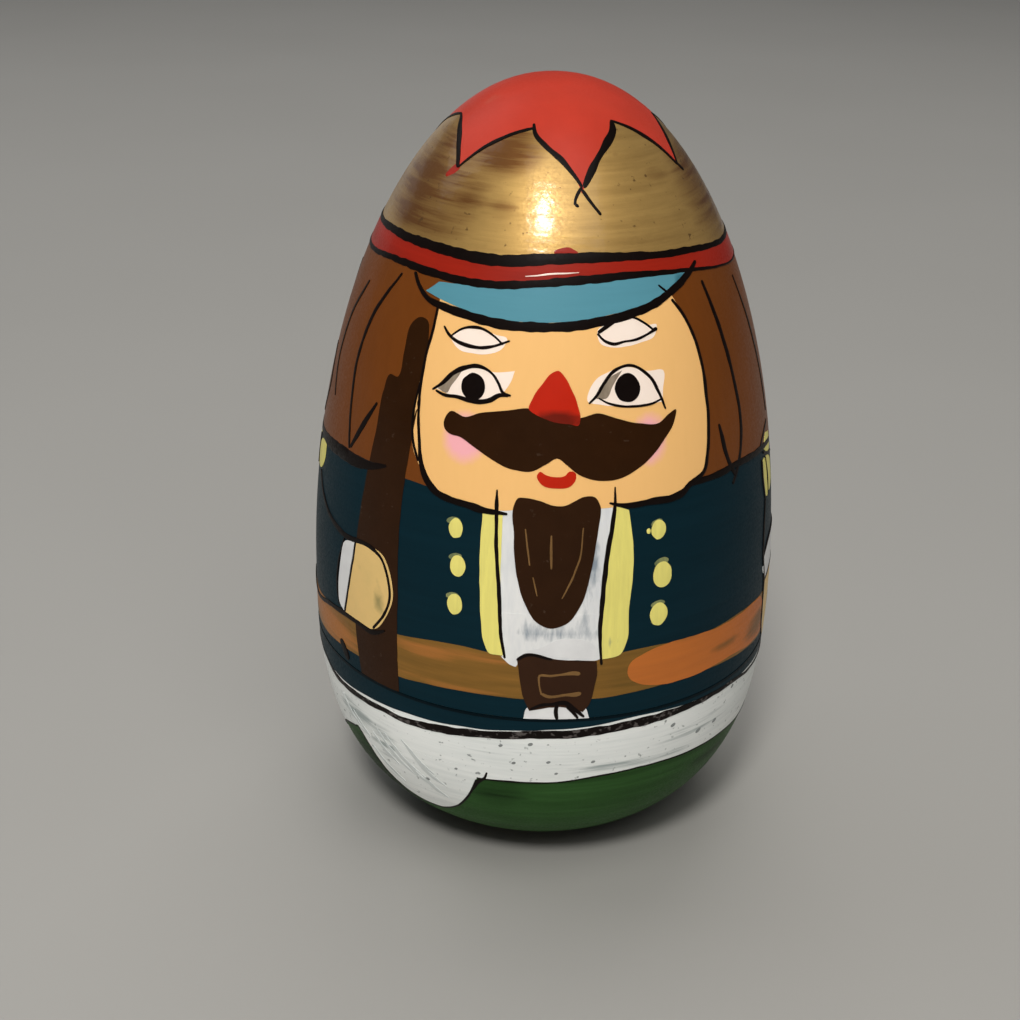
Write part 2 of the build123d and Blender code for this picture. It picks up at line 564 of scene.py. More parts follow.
def soldier_paints(name, coat, coat_dark, star, visor, hair):
    """Every paint on one doll. The paints that differ from doll to doll are given."""
    hair_dark = tuple(0.72 * c for c in hair)
    star_dark = tuple(0.78 * c for c in star)
    visor_dark = tuple(0.85 * c for c in visor)
    return {
        "gold": paint(f"{name}_gold", GOLD, DARK_GOLD, COPPER_AND_SHADE, ALONG, 1.0, 0.5, (0.12, 0.06, 0.02),
                      rough=(0.38, 0.55), metal=0.6, relief=0.5, gloss=0.6, ragged=0.6, shine=0.15,
                      ripple=0.9, blur=0.15),
        "star": paint(f"{name}_star_red", star, star_dark, (0.40, 0.085, 0.05), EVEN, 0.9, relief=0.4,
                      gloss=0.28, ragged=0.3, blur=0.38),
        "band": paint(f"{name}_band_red", (0.345, 0.017, 0.006), (0.22, 0.010, 0.004), None, ALONG, 0.9,
                      gloss=0.2),
        "visor": paint(f"{name}_visor", visor, visor_dark, (0.02, 0.10, 0.14), ALONG, 1.0, relief=0.4),
        "hair": paint(f"{name}_hair", hair, hair_dark, None, DOWN, 1.3, relief=0.5),
        "flesh": paint(f"{name}_flesh", (0.865, 0.502, 0.188), (0.81, 0.465, 0.165), (0.86, 0.40, 0.43),
                       DOWN, 1.6, relief=0.25, ragged=0.1),
        "hand": paint(f"{name}_hand", (0.80, 0.53, 0.20), (0.64, 0.45, 0.17), (0.33, 0.26, 0.10), EVEN,
                      1.0),
        "cream": paint(f"{name}_cream_white", (0.93, 0.80, 0.70), (0.86, 0.71, 0.60), None, EVEN, 1.2,
                       relief=0.3),
        "white": paint(f"{name}_white", (0.76, 0.76, 0.75), (0.58, 0.58, 0.58), None, EVEN, 0.9,
                       relief=0.5),
        "shirt": paint(f"{name}_shirt", (0.80, 0.79, 0.76), (0.56, 0.58, 0.60), (0.24, 0.28, 0.32),
                       DRY_DOWN, 0.7, relief=0.8, ragged=1.1),
        "trousers": paint(f"{name}_trousers", (0.86, 0.87, 0.84), (0.62, 0.65, 0.63), (0.34, 0.38, 0.37),
                          ALONG, 0.75, 0.8, (0.16, 0.18, 0.17), relief=1.0, gloss=0.06, ragged=1.3),
        "yellow": paint(f"{name}_yellow", (0.80, 0.72, 0.19), (0.66, 0.59, 0.16), (0.20, 0.22, 0.16),
                        FINE_DOWN, 0.6, relief=0.9, ragged=0.9),
        "belt": paint(f"{name}_belt", (0.25, 0.118, 0.022), (0.12, 0.066, 0.012), (0.36, 0.135, 0.030),
                      ALONG, 0.7, relief=0.7),
        # its accent is painted shade, darkening the orange part of the belt toward the doll's right side
        "orange": paint(f"{name}_belt_orange", (0.54, 0.155, 0.026), (0.40, 0.118, 0.023),
                        (0.20, 0.085, 0.018), ALONG, 0.9, relief=0.7),
        "dark": paint(f"{name}_dark_brown", (0.028, 0.0095, 0.0022), (0.018, 0.0058, 0.0010), None, EVEN,
                      0.9, 0.2, (0.055, 0.032, 0.02), shine=0.06),
        "leather": paint(f"{name}_buckle_leather", (0.038, 0.0145, 0.0058), (0.022, 0.0085, 0.0036), None,
                         EVEN, 1.2, shine=0.06),
        "olive": paint(f"{name}_dry_yellow", (0.30, 0.31, 0.12), (0.06, 0.09, 0.05), None, DOWN, 0.5,
                       relief=0.8),
        "tan": paint(f"{name}_tan", (0.24, 0.13, 0.045), (0.10, 0.05, 0.015), None, EVEN, 0.8),
        "nose": paint(f"{name}_nose_red", (0.50, 0.016, 0.002), (0.42, 0.012, 0.002), (0.14, 0.008, 0.002),
                      EVEN, 1.0, ragged=0.2),
        "ink": paint(f"{name}_line_black", INK, (0.003, 0.0015, 0.001), None, EVEN, 0.6, relief=0.8,
                     gloss=0.05, shine=0.08),
        "dry_line": paint(f"{name}_dry_line", INK, (0.003, 0.002, 0.0015), None, EVEN, 0.6, 2.3,
                          (0.10, 0.088, 0.082), relief=1.0, gloss=0.05, shine=0.08),
        # the seam paint is painted shadow: the coat's colours darkened, for the shade in the gap under the
        # cap
        "seam": paint(f"{name}_seam_edge", tuple(0.35 * c for c in coat),
                      tuple(0.25 * c for c in coat_dark), None, ALONG, 0.8, gloss=0.03, shine=0.05),
        "wash": paint(f"{name}_grey_wash", (0.34, 0.27, 0.20), (0.13, 0.10, 0.07), None, DOWN, 0.7),
        "coat": paint(f"{name}_coat", coat, coat_dark, None, ALONG, 1.2, relief=0.35, gloss=0.03,
                      shine=0.05),
        # its accent is painted shade: darker round the foot and toward both sides
        "green": paint(f"{name}_green", (0.038, 0.108, 0.027), (0.012, 0.040, 0.008), (0.006, 0.020, 0.004),
                       ALONG, 1.0, relief=0.6, gloss=0.02, shine=0.05),
        "fleck": paint(f"{name}_grey_fleck", (0.30, 0.32, 0.31), (0.13, 0.14, 0.135), None, EVEN, 1.0),
        "smear": paint(f"{name}_grey_smear", (0.64, 0.67, 0.65), (0.46, 0.49, 0.48), None, EVEN, 1.0, 0.8,
                       (0.84, 0.85, 0.82)),
    }


# Where a paint changes: (angle, height, reach round in degrees, reach up in mm, strength). On the gold,
# orange and green some of these spots are painted shade.
SHADES = {
    "flesh": [(-21.8, 71.8, 5.6, 3.5, 1.0), (23.8, 71.8, 4.8, 3.6, 0.95)],
    # gold: the broad spots at -59 and 82 degrees are painted shade, darkening the crown toward both sides;
    # the smaller ones are darker coppery patches
    "gold": [(-59, 103, 33, 10, 0.66), (-63, 100.6, 8, 6, 0.15), (-32, 100.6, 7, 2, 0.20),
             (-19, 100.4, 6, 1.6, 0.42), (-20, 107, 16, 2.8, 0.70), (-40, 96.5, 14, 1.8, 0.10),
             (82, 101, 29, 10, 0.66), (28, 106.5, 3, 1.2, 0.35), (44, 104, 8, 1.0, 0.38),
             (130, 100, 30, 4, 0.45), (-130, 99, 40, 4, 0.45), (180, 104, 30, 2, 0.45)],
    "star": [(-60, 112.0, 8, 0.6, 0.5), (-4, 112.3, 10, 0.4, 0.5)],
    "belt": [(-68, 36, 20, 3, 0.9), (-31, 39.8, 10, 1.1, 0.65), (-15, 40.6, 12, 0.8, 0.55),
             (-22, 35.0, 16, 0.7, 0.65), (150, 38, 30, 2, 0.8)],
    # orange: darker toward the doll's right side, a painted shade
    "orange": [(66, 36.5, 9, 2, 0.9), (48, 37.5, 6, 0.8, 0.7), (34, 41.5, 6, 0.6, 0.5)],
    "shirt": [(-4.5, 45.6, 2.5, 2.2, 0.45), (9.0, 51, 2, 8, 0.38), (3, 45.2, 8, 1.6, 0.48),
              (10.5, 55, 1.6, 5, 0.38)],
    "trousers": [(-44, 20, 5, 3, 0.5), (20, 22, 25, 1.0, 0.4), (-56, 23, 8, 4, 0.55), (0, 25, 30, 2.5, 0.2),
                 (45, 25, 16, 2.0, 0.35), (150, 22, 40, 2, 0.6), (-80, 15, 12, 5, 0.5)],
    "hand": [(-49.2, 47.6, 1.0, 1.3, 0.9), (-42.6, 44.4, 2.2, 2.0, 0.75), (-43.5, 48, 2, 3, 0.3)],
    "yellow": [(13.5, 53.2, 0.7, 2.6, 0.8), (13.0, 49.6, 0.6, 1.6, 0.5), (13.8, 43.2, 1.2, 0.5, 0.5),
               (17.8, 44.6, 0.8, 1.0, 0.4)],
    # green: painted shade, darker all round the foot and in patches toward both sides
    "green": [(-52, 12, 16, 8, 0.75), (-12, 17, 10, 4, 0.5), (52, 17, 12, 2.0, 0.6), (0, 0, 720, 4.5, 0.9),
              (20, 20, 40, 1.0, 0.5), (150, 12, 30, 5, 0.5), (-130, 14, 30, 4, 0.5)],
    "nose": [(1.2, 75.1, 7, 1.0, 1.0)],
    "visor": [(40, 91.5, 3, 1.0, 0.6)],
}


SPOT_EDGE = 1.6  # how suddenly a spot ends


def shade_at(paint_name, angle, z):
    """How far a paint has changed at a place, from 0 to 1."""
    total = 0.0
    for spot_angle, spot_z, wide, tall, strength in SHADES.get(paint_name, ()):
        away = (angle - spot_angle + 180) % 360 - 180
        total += strength * np.exp(-(((away / wide) ** 2 + ((z - spot_z) / tall) ** 2) ** SPOT_EDGE))
    return min(total, 1.0)


# ---------------------------------------------------------------- pieces
class Doll:
    """One doll of the nest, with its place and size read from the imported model."""

    def __init__(self, name, base, cap, base_turn):
        self.name, self.base, self.cap = name, base, cap
        self.base_turn = base_turn
        self.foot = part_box(base)[0][2]
        self.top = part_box(cap)[1][2]
        self.scale = (self.top - self.foot) / (HEIGHT * MM)
        self.coats = {}

    def coat(self, half, paint_name):
        return self.coats.setdefault((half, paint_name), Coat())

    def to_frame(self, corner, turn=0.0):
        spun = Matrix.Rotation(radians(turn), 3, "Z") @ corner
        return spun * (MM * self.scale) + Vector((0, 0, self.foot))


def make_piece(name, corners, faces, material, body):
    """A smooth mesh with its material, riding on a body of the model."""
    mesh = bpy.data.meshes.new(name)
    mesh.from_pydata(corners, [], faces)
    mesh.validate()
    mesh.polygons.foreach_set("use_smooth", [True] * len(mesh.polygons))
    mesh.set_sharp_from_angle(angle=radians(SHARP_ANGLE))
    mesh.materials.append(material)
    piece = bpy.data.objects.new(name, mesh)
    bpy.context.scene.collection.objects.link(piece)
    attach(piece, body)
    return piece


def make_coats(doll, paints):
    """One piece for each paint on each half of the doll."""
    for (half, paint_name), coat in doll.coats.items():
        body = doll.cap if half == "cap" else doll.base
        turn = 0.0 if half == "cap" else doll.base_turn
        corners = [doll.to_frame(c, turn) for c in coat.corners]
        piece = make_piece(f"{doll.name}_{half}_{paint_name}", corners, coat.faces, paints[paint_name],
                           body)
        if paint_name in SHADES:
            shade = piece.data.attributes.new("shade", "FLOAT", "POINT")
            values = [shade_at(paint_name, degrees(atan2(c.x, -c.y)), c.z) for c in coat.corners]
            shade.data.foreach_set("value", values)


def lathe(profile):
    """Corners and faces of a closed (radius, height) profile spun round the axis."""
    corners, faces, rings = [], [], []
    for r, z in profile:
        start = len(corners)
        if r < 1e-6:
            corners.append(Vector((0, 0, z)))
            rings.append([start] * LATHE_COLUMNS)
        else:
            for i in range(LATHE_COLUMNS):
                a = tau * i / LATHE_COLUMNS
                corners.append(Vector((r * sin(a), -r * cos(a), z)))
            rings.append(list(range(start, start + LATHE_COLUMNS)))
    for lower, upper in zip(rings, rings[1:] + rings[:1]):
        if lower[0] == lower[1] and upper[0] == upper[1]:
            continue
        for i in range(LATHE_COLUMNS):
            j = (i + 1) % LATHE_COLUMNS
            face = dict.fromkeys((lower[i], lower[j], upper[j], upper[i]))
            faces.append(tuple(face))
    return corners, faces


def hollow_radius(z, height, wall):
    """The hollow's radius at a height over the doll's foot; both in real millimetres."""
    floor = FLOOR_PER_WALL * wall
    tall = height - floor - ROOF_PER_WALL * wall
    share = (MAX_RADIUS * height / HEIGHT - wall) / MAX_RADIUS
    return share * form_radius(min(max((z - floor) * HEIGHT / tall, 0), HEIGHT))


def tool_mark(z):
    """The waver that the turning tool leaves in the hollow."""
    return 0.025 * sin(tau * z / 1.3) + 0.015 * sin(tau * z / 0.47)


def outer_profile(doll, z_low, z_high):
    """The bare wood under the paint, upwards, in real millimetres over the doll's foot."""
    full_low, full_high = z_low / doll.scale, z_high / doll.scale
    count = ceil((full_high - full_low) / OUTER_ROW)
    points = []
    for i in range(count + 1):
        z = full_low + (full_high - full_low) * i / count
        corner = Side.place(0, z, -WOOD_DEPTH)
        points.append((-corner.y * doll.scale, corner.z * doll.scale))
    return points


def make_wood(doll, material, hollow=True):
    """The turned shells of one doll, or the solid doll in the middle."""
    height = (doll.top - doll.foot) / MM
    wall = LEAST_WALL + WALL_PER_HEIGHT * height
    foot_radius = form_radius(0) * doll.scale - FOOT_INSET
    crown_start = CROWN_SHARE * height
    crown = []
    for i in range(1, CROWN_ROWS + 1):
        r = form_radius(crown_start / doll.scale) * (1 - i / CROWN_ROWS)
        corner = Crown.place(0, -r, -WOOD_DEPTH)
        crown.append((-corner.y * doll.scale if r else 0.0, corner.z * doll.scale))

    def place(profile):
        corners, faces = lathe(profile)
        return [c * MM + Vector((0, 0, doll.foot)) for c in corners], faces

    if not hollow:
        profile = [(0, 0), (foot_radius, 0)] + outer_profile(doll, FOOT_RISE * doll.scale,
                                                             crown_start) + crown
        corners, faces = place(profile)
        piece = make_piece(f"{doll.name}_wood", corners, faces, material, doll.base)
        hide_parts(doll.base)
        return

    neck_top = (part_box(doll.base)[1][2] - doll.foot) / MM
    over_seam = (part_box(doll.cap)[0][2] - doll.foot) / MM
    under_seam = over_seam - SEAM_GAP
    seam_radius = form_radius((over_seam - SEAM_GAP / 2) / doll.scale) * doll.scale
    socket_radius = seam_radius - RIM_SHARE * wall
    neck_radius = socket_radius - NECK_CLEARANCE
    floor = FLOOR_PER_WALL * wall
    roof = height - ROOF_PER_WALL * wall

    bowl = []
    rows = ceil((neck_top - floor) / TURNED_ROW)
    for i in range(rows, 0, -1):
        z = floor + (neck_top - floor) * i / rows
        bowl.append((hollow_radius(z, height, wall) + tool_mark(z), z))
    bowl.append((hollow_radius(floor, height, wall), floor))
    base_profile = (
        [(0, 0), (foot_radius, 0)]
        + outer_profile(doll, FOOT_RISE * doll.scale, under_seam - RIM_CHAMFER)
        + [(seam_radius - RIM_CHAMFER, under_seam), (neck_radius, under_seam),
           (neck_radius, neck_top - NECK_CHAMFER), (neck_radius - NECK_CHAMFER, neck_top)]
        + bowl + [(0, floor)]
    )
    corners, faces = place(base_profile)
    piece = make_piece(f"{doll.name}_base_wood", corners, faces, material, doll.base)
    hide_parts(doll.base)

    socket_top = neck_top + SOCKET_SPARE
    vault = []
    vault_rows = ceil((roof - socket_top) / TURNED_ROW)
    for i in range(vault_rows):
        z = socket_top + (roof - socket_top) * i / vault_rows
        vault.append((hollow_radius(z, height, wall) + tool_mark(z), z))
    cap_profile = (
        [(0, roof)] + vault[::-1]
        + [(socket_radius, socket_top), (socket_radius, over_seam + RIM_CHAMFER),
           (socket_radius + RIM_CHAMFER, over_seam), (seam_radius - RIM_CHAMFER, over_seam)]
        + outer_profile(doll, over_seam + RIM_CHAMFER, crown_start) + crown
    )
    corners, faces = place(cap_profile)
    piece = make_piece(f"{doll.name}_cap_wood", corners, faces, material, doll.cap)
    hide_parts(doll.cap)


# ---------------------------------------------------------------- the painting
SEAM_Z = 31.4
SEAM_SHADOW_HEIGHT = 0.45  # height of the painted shadow along the seam, a dark band at the top of the base
CAP_EDGE = SEAM_Z + 0.06  # the cap's paint stops a little over the middle of the seam
BAND_TOP = [
    (-180, 94.2, 1.0), (-110, 94.6, 0.9), (-81, 94.7, 0.9), (-69, 94.9, 1.2), (-58, 94.9, 1.5),
    (-49, 94.9, 1.6), (-35, 94.7, 1.7), (-24, 94.5, 1.8), (-14.5, 94.6, 1.9), (-5, 95.0, 1.9),
    (-1.7, 95.1, 1.9), (6, 95.2, 1.7), (13, 95.2, 1.6), (23, 95.1, 1.4), (34.4, 94.8, 1.2), (48, 94.5, 1.1),
    (56, 94.2, 1.0), (68, 93.8, 0.9), (100, 93.9, 0.9), (140, 94.4, 1.0),
]
BAND_FOOT = [
    (-180, 91.0, 0.9), (-110, 91.0, 0.8), (-74, 91.2, 0.8), (-60, 91.8, 1.0), (-45, 91.8, 1.3),
    (-33, 91.6, 1.3), (-23, 91.5, 1.3), (-17, 91.6, 1.3), (-5, 92.1, 1.3), (4, 92.5, 1.4), (13, 92.7, 1.4),
    (22, 92.8, 1.2), (33, 92.6, 0.9), (45, 92.2, 0.6), (58, 91.4, 0.4), (73, 90.6, 0.3), (100, 90.7, 0.6),
    (140, 91.2, 0.8),
]
STAR_POINTS = [(-46, 104.4), (9.3, 102.7), (64, 104.3), (112, 103.2), (161, 104.0), (205, 103.1),
               (250, 104.1)]
STAR_NOTCHES = [(-14, 109.9), (34.5, 110.6), (89, 109.8), (137, 110.4), (183, 110.0), (228, 110.5),
                (284, 109.8)]
HAIR_FOOT = [
    (-180, 63.6), (-130, 62.4), (-84, 63.1), (-66, 64.2), (-45, 64.6), (-33, 64.3), (0, 64.3), (34, 64.5),
    (45, 64.5), (51, 64.6), (59, 64.3), (68, 63.9), (80, 63.2), (110, 62.6), (150, 63.4),
]
BELT_TOP = [
    (-180, 41.6), (-110, 38.8), (-76, 38.1), (-65, 38.9), (-56, 39.4), (-36, 41.0), (-27, 41.7),
    (-20, 41.9), (-14, 41.6), (-7, 41.4), (13, 41.0), (18, 41.6), (25, 41.7), (38, 41.3), (54, 41.4),
    (67, 40.8), (100, 40.8), (140, 41.5),
]
BELT_FOOT = [
    (-180, 35.2), (-110, 33.4), (-72, 33.0), (-60, 33.6), (-52, 34.0), (-36, 34.1), (-24, 34.6), (12, 34.6),
    (26, 35.0), (44, 34.8), (56, 34.1), (74, 33.0), (100, 34.0), (140, 35.0),
]


def lines(doll, half, level, strokes, chart=Side):
    """Black brush lines, each a list of (angle, height, width) points."""
    for number, points in enumerate(strokes):
        stroke(doll.coat(half, "ink"), points, level, chart, seed=number * 3.1)


def straight_edge(start, end, widths):
    """A brush line that is straight as seen from above, given its widths at both ends and halfway."""
    x0, y0 = Crown.flat(*start)
    x1, y1 = Crown.flat(*end)
    points = []
    for share, width in zip((0, 0.5, 1), widths):
        x, y = x0 + (x1 - x0) * share, y0 + (y1 - y0) * share
        points.append((degrees(atan2(x, -y)), crown_height(hypot(x, y)), width))
    return points


FRONT_POINT_LEFT = [(-14.5, 110.4, 0.4), (-12.8, 109.5, 0.7), (-5.9, 108.0, 0.8), (2.6, 106.3, 1.0),
                    (6.8, 104.8, 0.6), (9.5, 103.4, 0.5)]
FRONT_POINT_RIGHT = [(35.5, 110.6, 0.6), (33, 109.7, 1.2), (24, 108.0, 1.3), (18, 106.5, 1.1),
                     (13.4, 104.9, 1.2), (10.3, 103.4, 0.6)]


def paint_hat(doll):
    """The gold crown of the hat, its red star and its red band."""
    dome(doll.coat("cap", "gold"), 93.0, 2)
    ring(doll.coat("cap", "band"), round_edge(BAND_FOOT), round_edge(BAND_TOP), 3)
    outline = []
    for tip, notch in zip(STAR_POINTS, STAR_NOTCHES):
        front = tip == STAR_POINTS[1]
        before = FRONT_POINT_LEFT[1:-1] if front else []
        after = FRONT_POINT_RIGHT[-2:0:-1] if front else []
        outline += [(angle, z) for angle, z, width in before]
        outline.append((*tip, CORNER))
        outline += [(angle, z) for angle, z, width in after]
        outline.append((*notch, CORNER))
    patch(doll.coat("cap", "star"), outline, 3, Crown, waver=0.12)
    smears = [[(-45.6, 104.8, 1.6), (-47.6, 104.1, 1.5), (-50.4, 103.2, 0.8)],
              [(-1, 95.9, 0.7), (3, 96.1, 1.2), (6.5, 95.8, 0.6)]]
    for points in smears:
        stroke(doll.coat("cap", "band"), points, 2)

    edges = []
    widths = [(1.0, 0.7), (0.0, 0.0), (0.8, 1.0), (0.9, 1.2), (1.3, 0.8), (0.9, 1.4), (1.1, 0.8)]
    for i, (tip, notch) in enumerate(zip(STAR_POINTS, STAR_NOTCHES)):
        down, up = widths[i]
        if down:
            edges.append(straight_edge(STAR_NOTCHES[i - 1], tip, (0.5 * down, down, 0.7 * down)))
            edges.append(straight_edge(tip, notch, (0.5 * up, up, 0.7 * up)))
    edges += [FRONT_POINT_LEFT, FRONT_POINT_RIGHT]
    edges.append([(9.6, 103.5, 0.5), (7.4, 102.6, 0.5), (6.3, 101.6, 0.5), (7.6, 101.2, 0.6)])
    edges.append([(9.4, 103.2, 0.6), (12.6, 101.6, 0.5), (15.6, 100.2, 0.5)])
    edges.append([(64, 104.5, 0.6), (66.5, 103.4, 0.5)])
    lines(doll, "cap", 4, edges, Crown)

    for edge in (BAND_TOP, BAND_FOOT):
        stroke(doll.coat("cap", "ink"), edge + [(180, *edge[0][1:])], 4)


def paint_hair(doll):
    """The long hair, its strands, its hem and the back of the head."""
    ring(doll.coat("cap", "hair"), round_edge(HAIR_FOOT), 93.2, 1)
    strands = [
        [(-52, 90.5, 0.4), (-60, 84, 0.8), (-62.5, 78, 0.7), (-61, 71, 0.6), (-58.5, 65, 0.5)],
        [(-69, 87.5, 0.5), (-76, 81, 0.7), (-77, 75, 0.6), (-73, 70, 0.4)],
        [(-49.5, 73.2, 0.5), (-53.5, 69.5, 1.0), (-58, 65.2, 0.6)],
        [(49.5, 90.5, 0.5), (52.5, 84.5, 0.8), (55.2, 76, 0.8), (55.8, 70, 0.8), (54, 66, 0.7),
         (52, 63.9, 0.7), (49.9, 62.2, 0.5)],
        [(70, 89, 0.4), (74, 81.5, 0.7), (76.5, 74, 0.7), (77, 68, 0.5)],
        [(46, 71.5, 0.4), (46.9, 69.5, 0.8), (47.6, 67.5, 0.9), (49.2, 65.2, 0.8), (51.4, 63.3, 0.6)],
        [(76, 66.8, 0.4), (70, 65.6, 0.6), (65.5, 64.0, 0.6)],
    ]
    for i, angle in enumerate(range(96, 270, 17)):
        lean = 3.5 * sin(i * 2.3)
        top = 89.5 - 2.0 * (i % 3)
        strands.append([(angle, top, 0.4), (angle + lean, 80, 0.9), (angle + 1.6 * lean, 72, 0.8),
                        (angle + lean, 65.5 + (i % 2) * 2, 0.5)])
        strands.append([(angle + 8, 76 - 2 * (i % 2), 0.4), (angle + 9 - lean, 70, 1.0),
                        (angle + 7, 64.8, 0.6)])
    lines(doll, "cap", 3, strands)
    hem_left = [(-92, 62.4, 0.9), (-79, 62.9, 1.6), (-70, 63.3, 2.0), (-62, 63.7, 2.2), (-54, 63.9, 2.0),
                (-48, 64.4, 1.3), (-43, 65.2, 0.4)]
    hem_right = [(34.4, 64.6, 0.9), (40, 64.6, 1.0), (45, 64.6, 1.1), (51, 64.8, 1.1), (59, 64.5, 1.1),
                 (68, 64.1, 1.0), (78, 63.4, 0.8)]
    hem_back = [(90, 62.8, 0.8), (120, 62.6, 1.5), (160, 63.6, 1.2), (200, 63.2, 1.6), (240, 62.3, 1.3),
                (270, 62.8, 1.0)]
    lines(doll, "cap", 3, [hem_left, hem_right, hem_back])


def paint_face(doll):
    """The face, from the eyes and the nose to the beard."""
    flesh = doll.coat("cap", "flesh")
    face = [(-34.8, 90.2, CORNER), (-34.8, 85), (-35.7, 80), (-36.3, 77.3), (-36.7, 74), (-36.6, 71.5),
            (-35.2, 68.6), (-33, 66.8), (-28.3, 64.2), (-20, 62.8), (-12, 62.6), (-8, 62.9), (5, 63.0),
            (13, 63.2), (22, 63.3), (30, 63.3), (33.5, 63.9), (36.5, 64.9), (39.6, 66.0), (41.3, 69),
            (42.2, 73), (42.3, 77), (41.0, 83.5), (37.6, 88), (34.5, 90.6, CORNER)]
    patch(flesh, face, 2, waver=0.05)

    # the soft white round the eyes and brows, and then their crisp shapes
    cream = doll.coat("cap", "cream")
    patch(cream, [(-29, 84.4), (-26.5, 83.2), (-22, 82.8), (-17.5, 83.0), (-13.8, 84.0), (-13.0, 85.0),
                  (-16.2, 85.5), (-21.5, 86.0), (-25.5, 85.6)], 3)
    patch(cream, [(11.2, 86.0), (11.8, 84.9), (15, 84.2), (19, 84.2), (23.4, 84.5), (28, 85.2),
                  (28.8, 86.4), (26, 86.5), (22, 87.5), (18, 87.4)], 3)
    patch(cream, [(-31, 77.5, CORNER), (-25, 77.0), (-18.5, 76.9), (-13.4, 78.0), (-11.4, 79.6),
                  (-10.4, 81.2, CORNER), (-15, 80.8), (-20.4, 81.2), (-26.6, 79.9)], 3)
    patch(cream, [(8.2, 77.6), (8.8, 79.0), (10.6, 80.3), (13.6, 81.1), (18.5, 81.6), (24, 80.8),
                  (29.4, 80.4), (28.6, 78.2), (28.2, 76.5, CORNER), (19, 76.5), (12, 77.0)], 3)
    wash = doll.coat("cap", "wash")
    patch(wash, [(-30.4, 77.6, CORNER), (-27.6, 77.3), (-26.8, 78.2), (-25.6, 79.2), (-24.4, 80.3, CORNER),
                 (-27.2, 79.5)], 4, waver=0.03)
    patch(wash, [(10.4, 77.8, CORNER), (13.0, 77.8), (14.8, 79.4), (17.4, 81.2, CORNER), (13.4, 80.2)], 4,
          waver=0.03)
    for angle, z, width in ((-20.8, 78.6, 3.4), (18.6, 78.9, 3.7)):
        blob(doll.coat("cap", "ink"), angle, z, width, 3.6, 5, bulge=0.03, seed=angle)

    dark = doll.coat("cap", "dark")
    moustache = [(-27.6, 73.4), (-26.2, 74.9), (-22, 74.6), (-18, 75.4), (-12, 76.0), (-6, 76.5),
                 (-1, 75.4), (3, 75.2), (7, 75.5), (11, 75.9), (16, 75.0), (21, 74.2), (26.5, 73.8),
                 (30.2, 74.9), (31.9, 75.2), (31.2, 73.8), (27.5, 71.3), (22, 68.6), (16.5, 67.2),
                 (11.5, 66.9), (6.5, 67.8), (3, 69.3), (0.8, 70.1), (-1.6, 69.3), (-5, 68.3), (-9.5, 68.4),
                 (-15, 69.6), (-19.5, 70.9), (-23.2, 71.9), (-25.4, 72.0), (-27.0, 72.5)]
    patch(dark, moustache, 4, dome=0.02)
    nose = [(0.9, 81.4), (-1.1, 81.0), (-3.5, 79.5), (-5.5, 77.8), (-6.3, 76.5), (-4.3, 75.7), (-0.1, 74.9),
            (4.1, 74.6), (5.8, 74.4), (6.4, 75.6), (5.8, 76.9), (4.4, 78.8), (2.6, 80.6)]
    patch(doll.coat("cap", "nose"), nose, 5, dome=0.05)
    mouth = [(-3.7, 67.8), (-3.0, 68.3), (-1.8, 67.9), (0.4, 67.6), (2.8, 67.8), (3.9, 68.4), (5.2, 68.2),
             (5.4, 67.3), (4.2, 66.4), (0.9, 66.1), (-2.4, 66.5)]
    patch(doll.coat("cap", "nose"), mouth, 4, dome=0.03, waver=0.04)
    beard = [(-8.6, 60.2), (-8.8, 63.6), (-8.0, 64.6), (-6.2, 64.7), (-2.9, 64.3), (0.4, 63.7), (3.0, 63.7),
             (4.9, 64.2), (7.6, 64.9), (9.9, 64.8), (10.9, 64.0), (10.7, 60.2), (9.8, 56.5), (8.4, 52.0),
             (6.6, 48.8), (3.6, 46.6), (0.4, 46.0), (-2.8, 46.9), (-5.6, 49.8), (-7.6, 53.8)]
    patch(dark, beard, 4, dome=0.03)
    pale_strokes = [[(-5.9, 60.4, 0.2), (-5.2, 57.4, 0.3), (-4.6, 55.2, 0.2)],
                    [(0.0, 59.6, 0.25), (0.1, 57.0, 0.45), (0.2, 54.8, 0.25)],
                    [(7.2, 60.6, 0.2), (6.6, 56.5, 0.28), (4.8, 53.2, 0.3), (2.7, 50.5, 0.2)],
                    [(-3.8, 53.6, 0.18), (-3.2, 52.0, 0.25), (-2.8, 50.8, 0.15)]]
    for points in pale_strokes:
        stroke(doll.coat("cap", "tan"), points, 5)

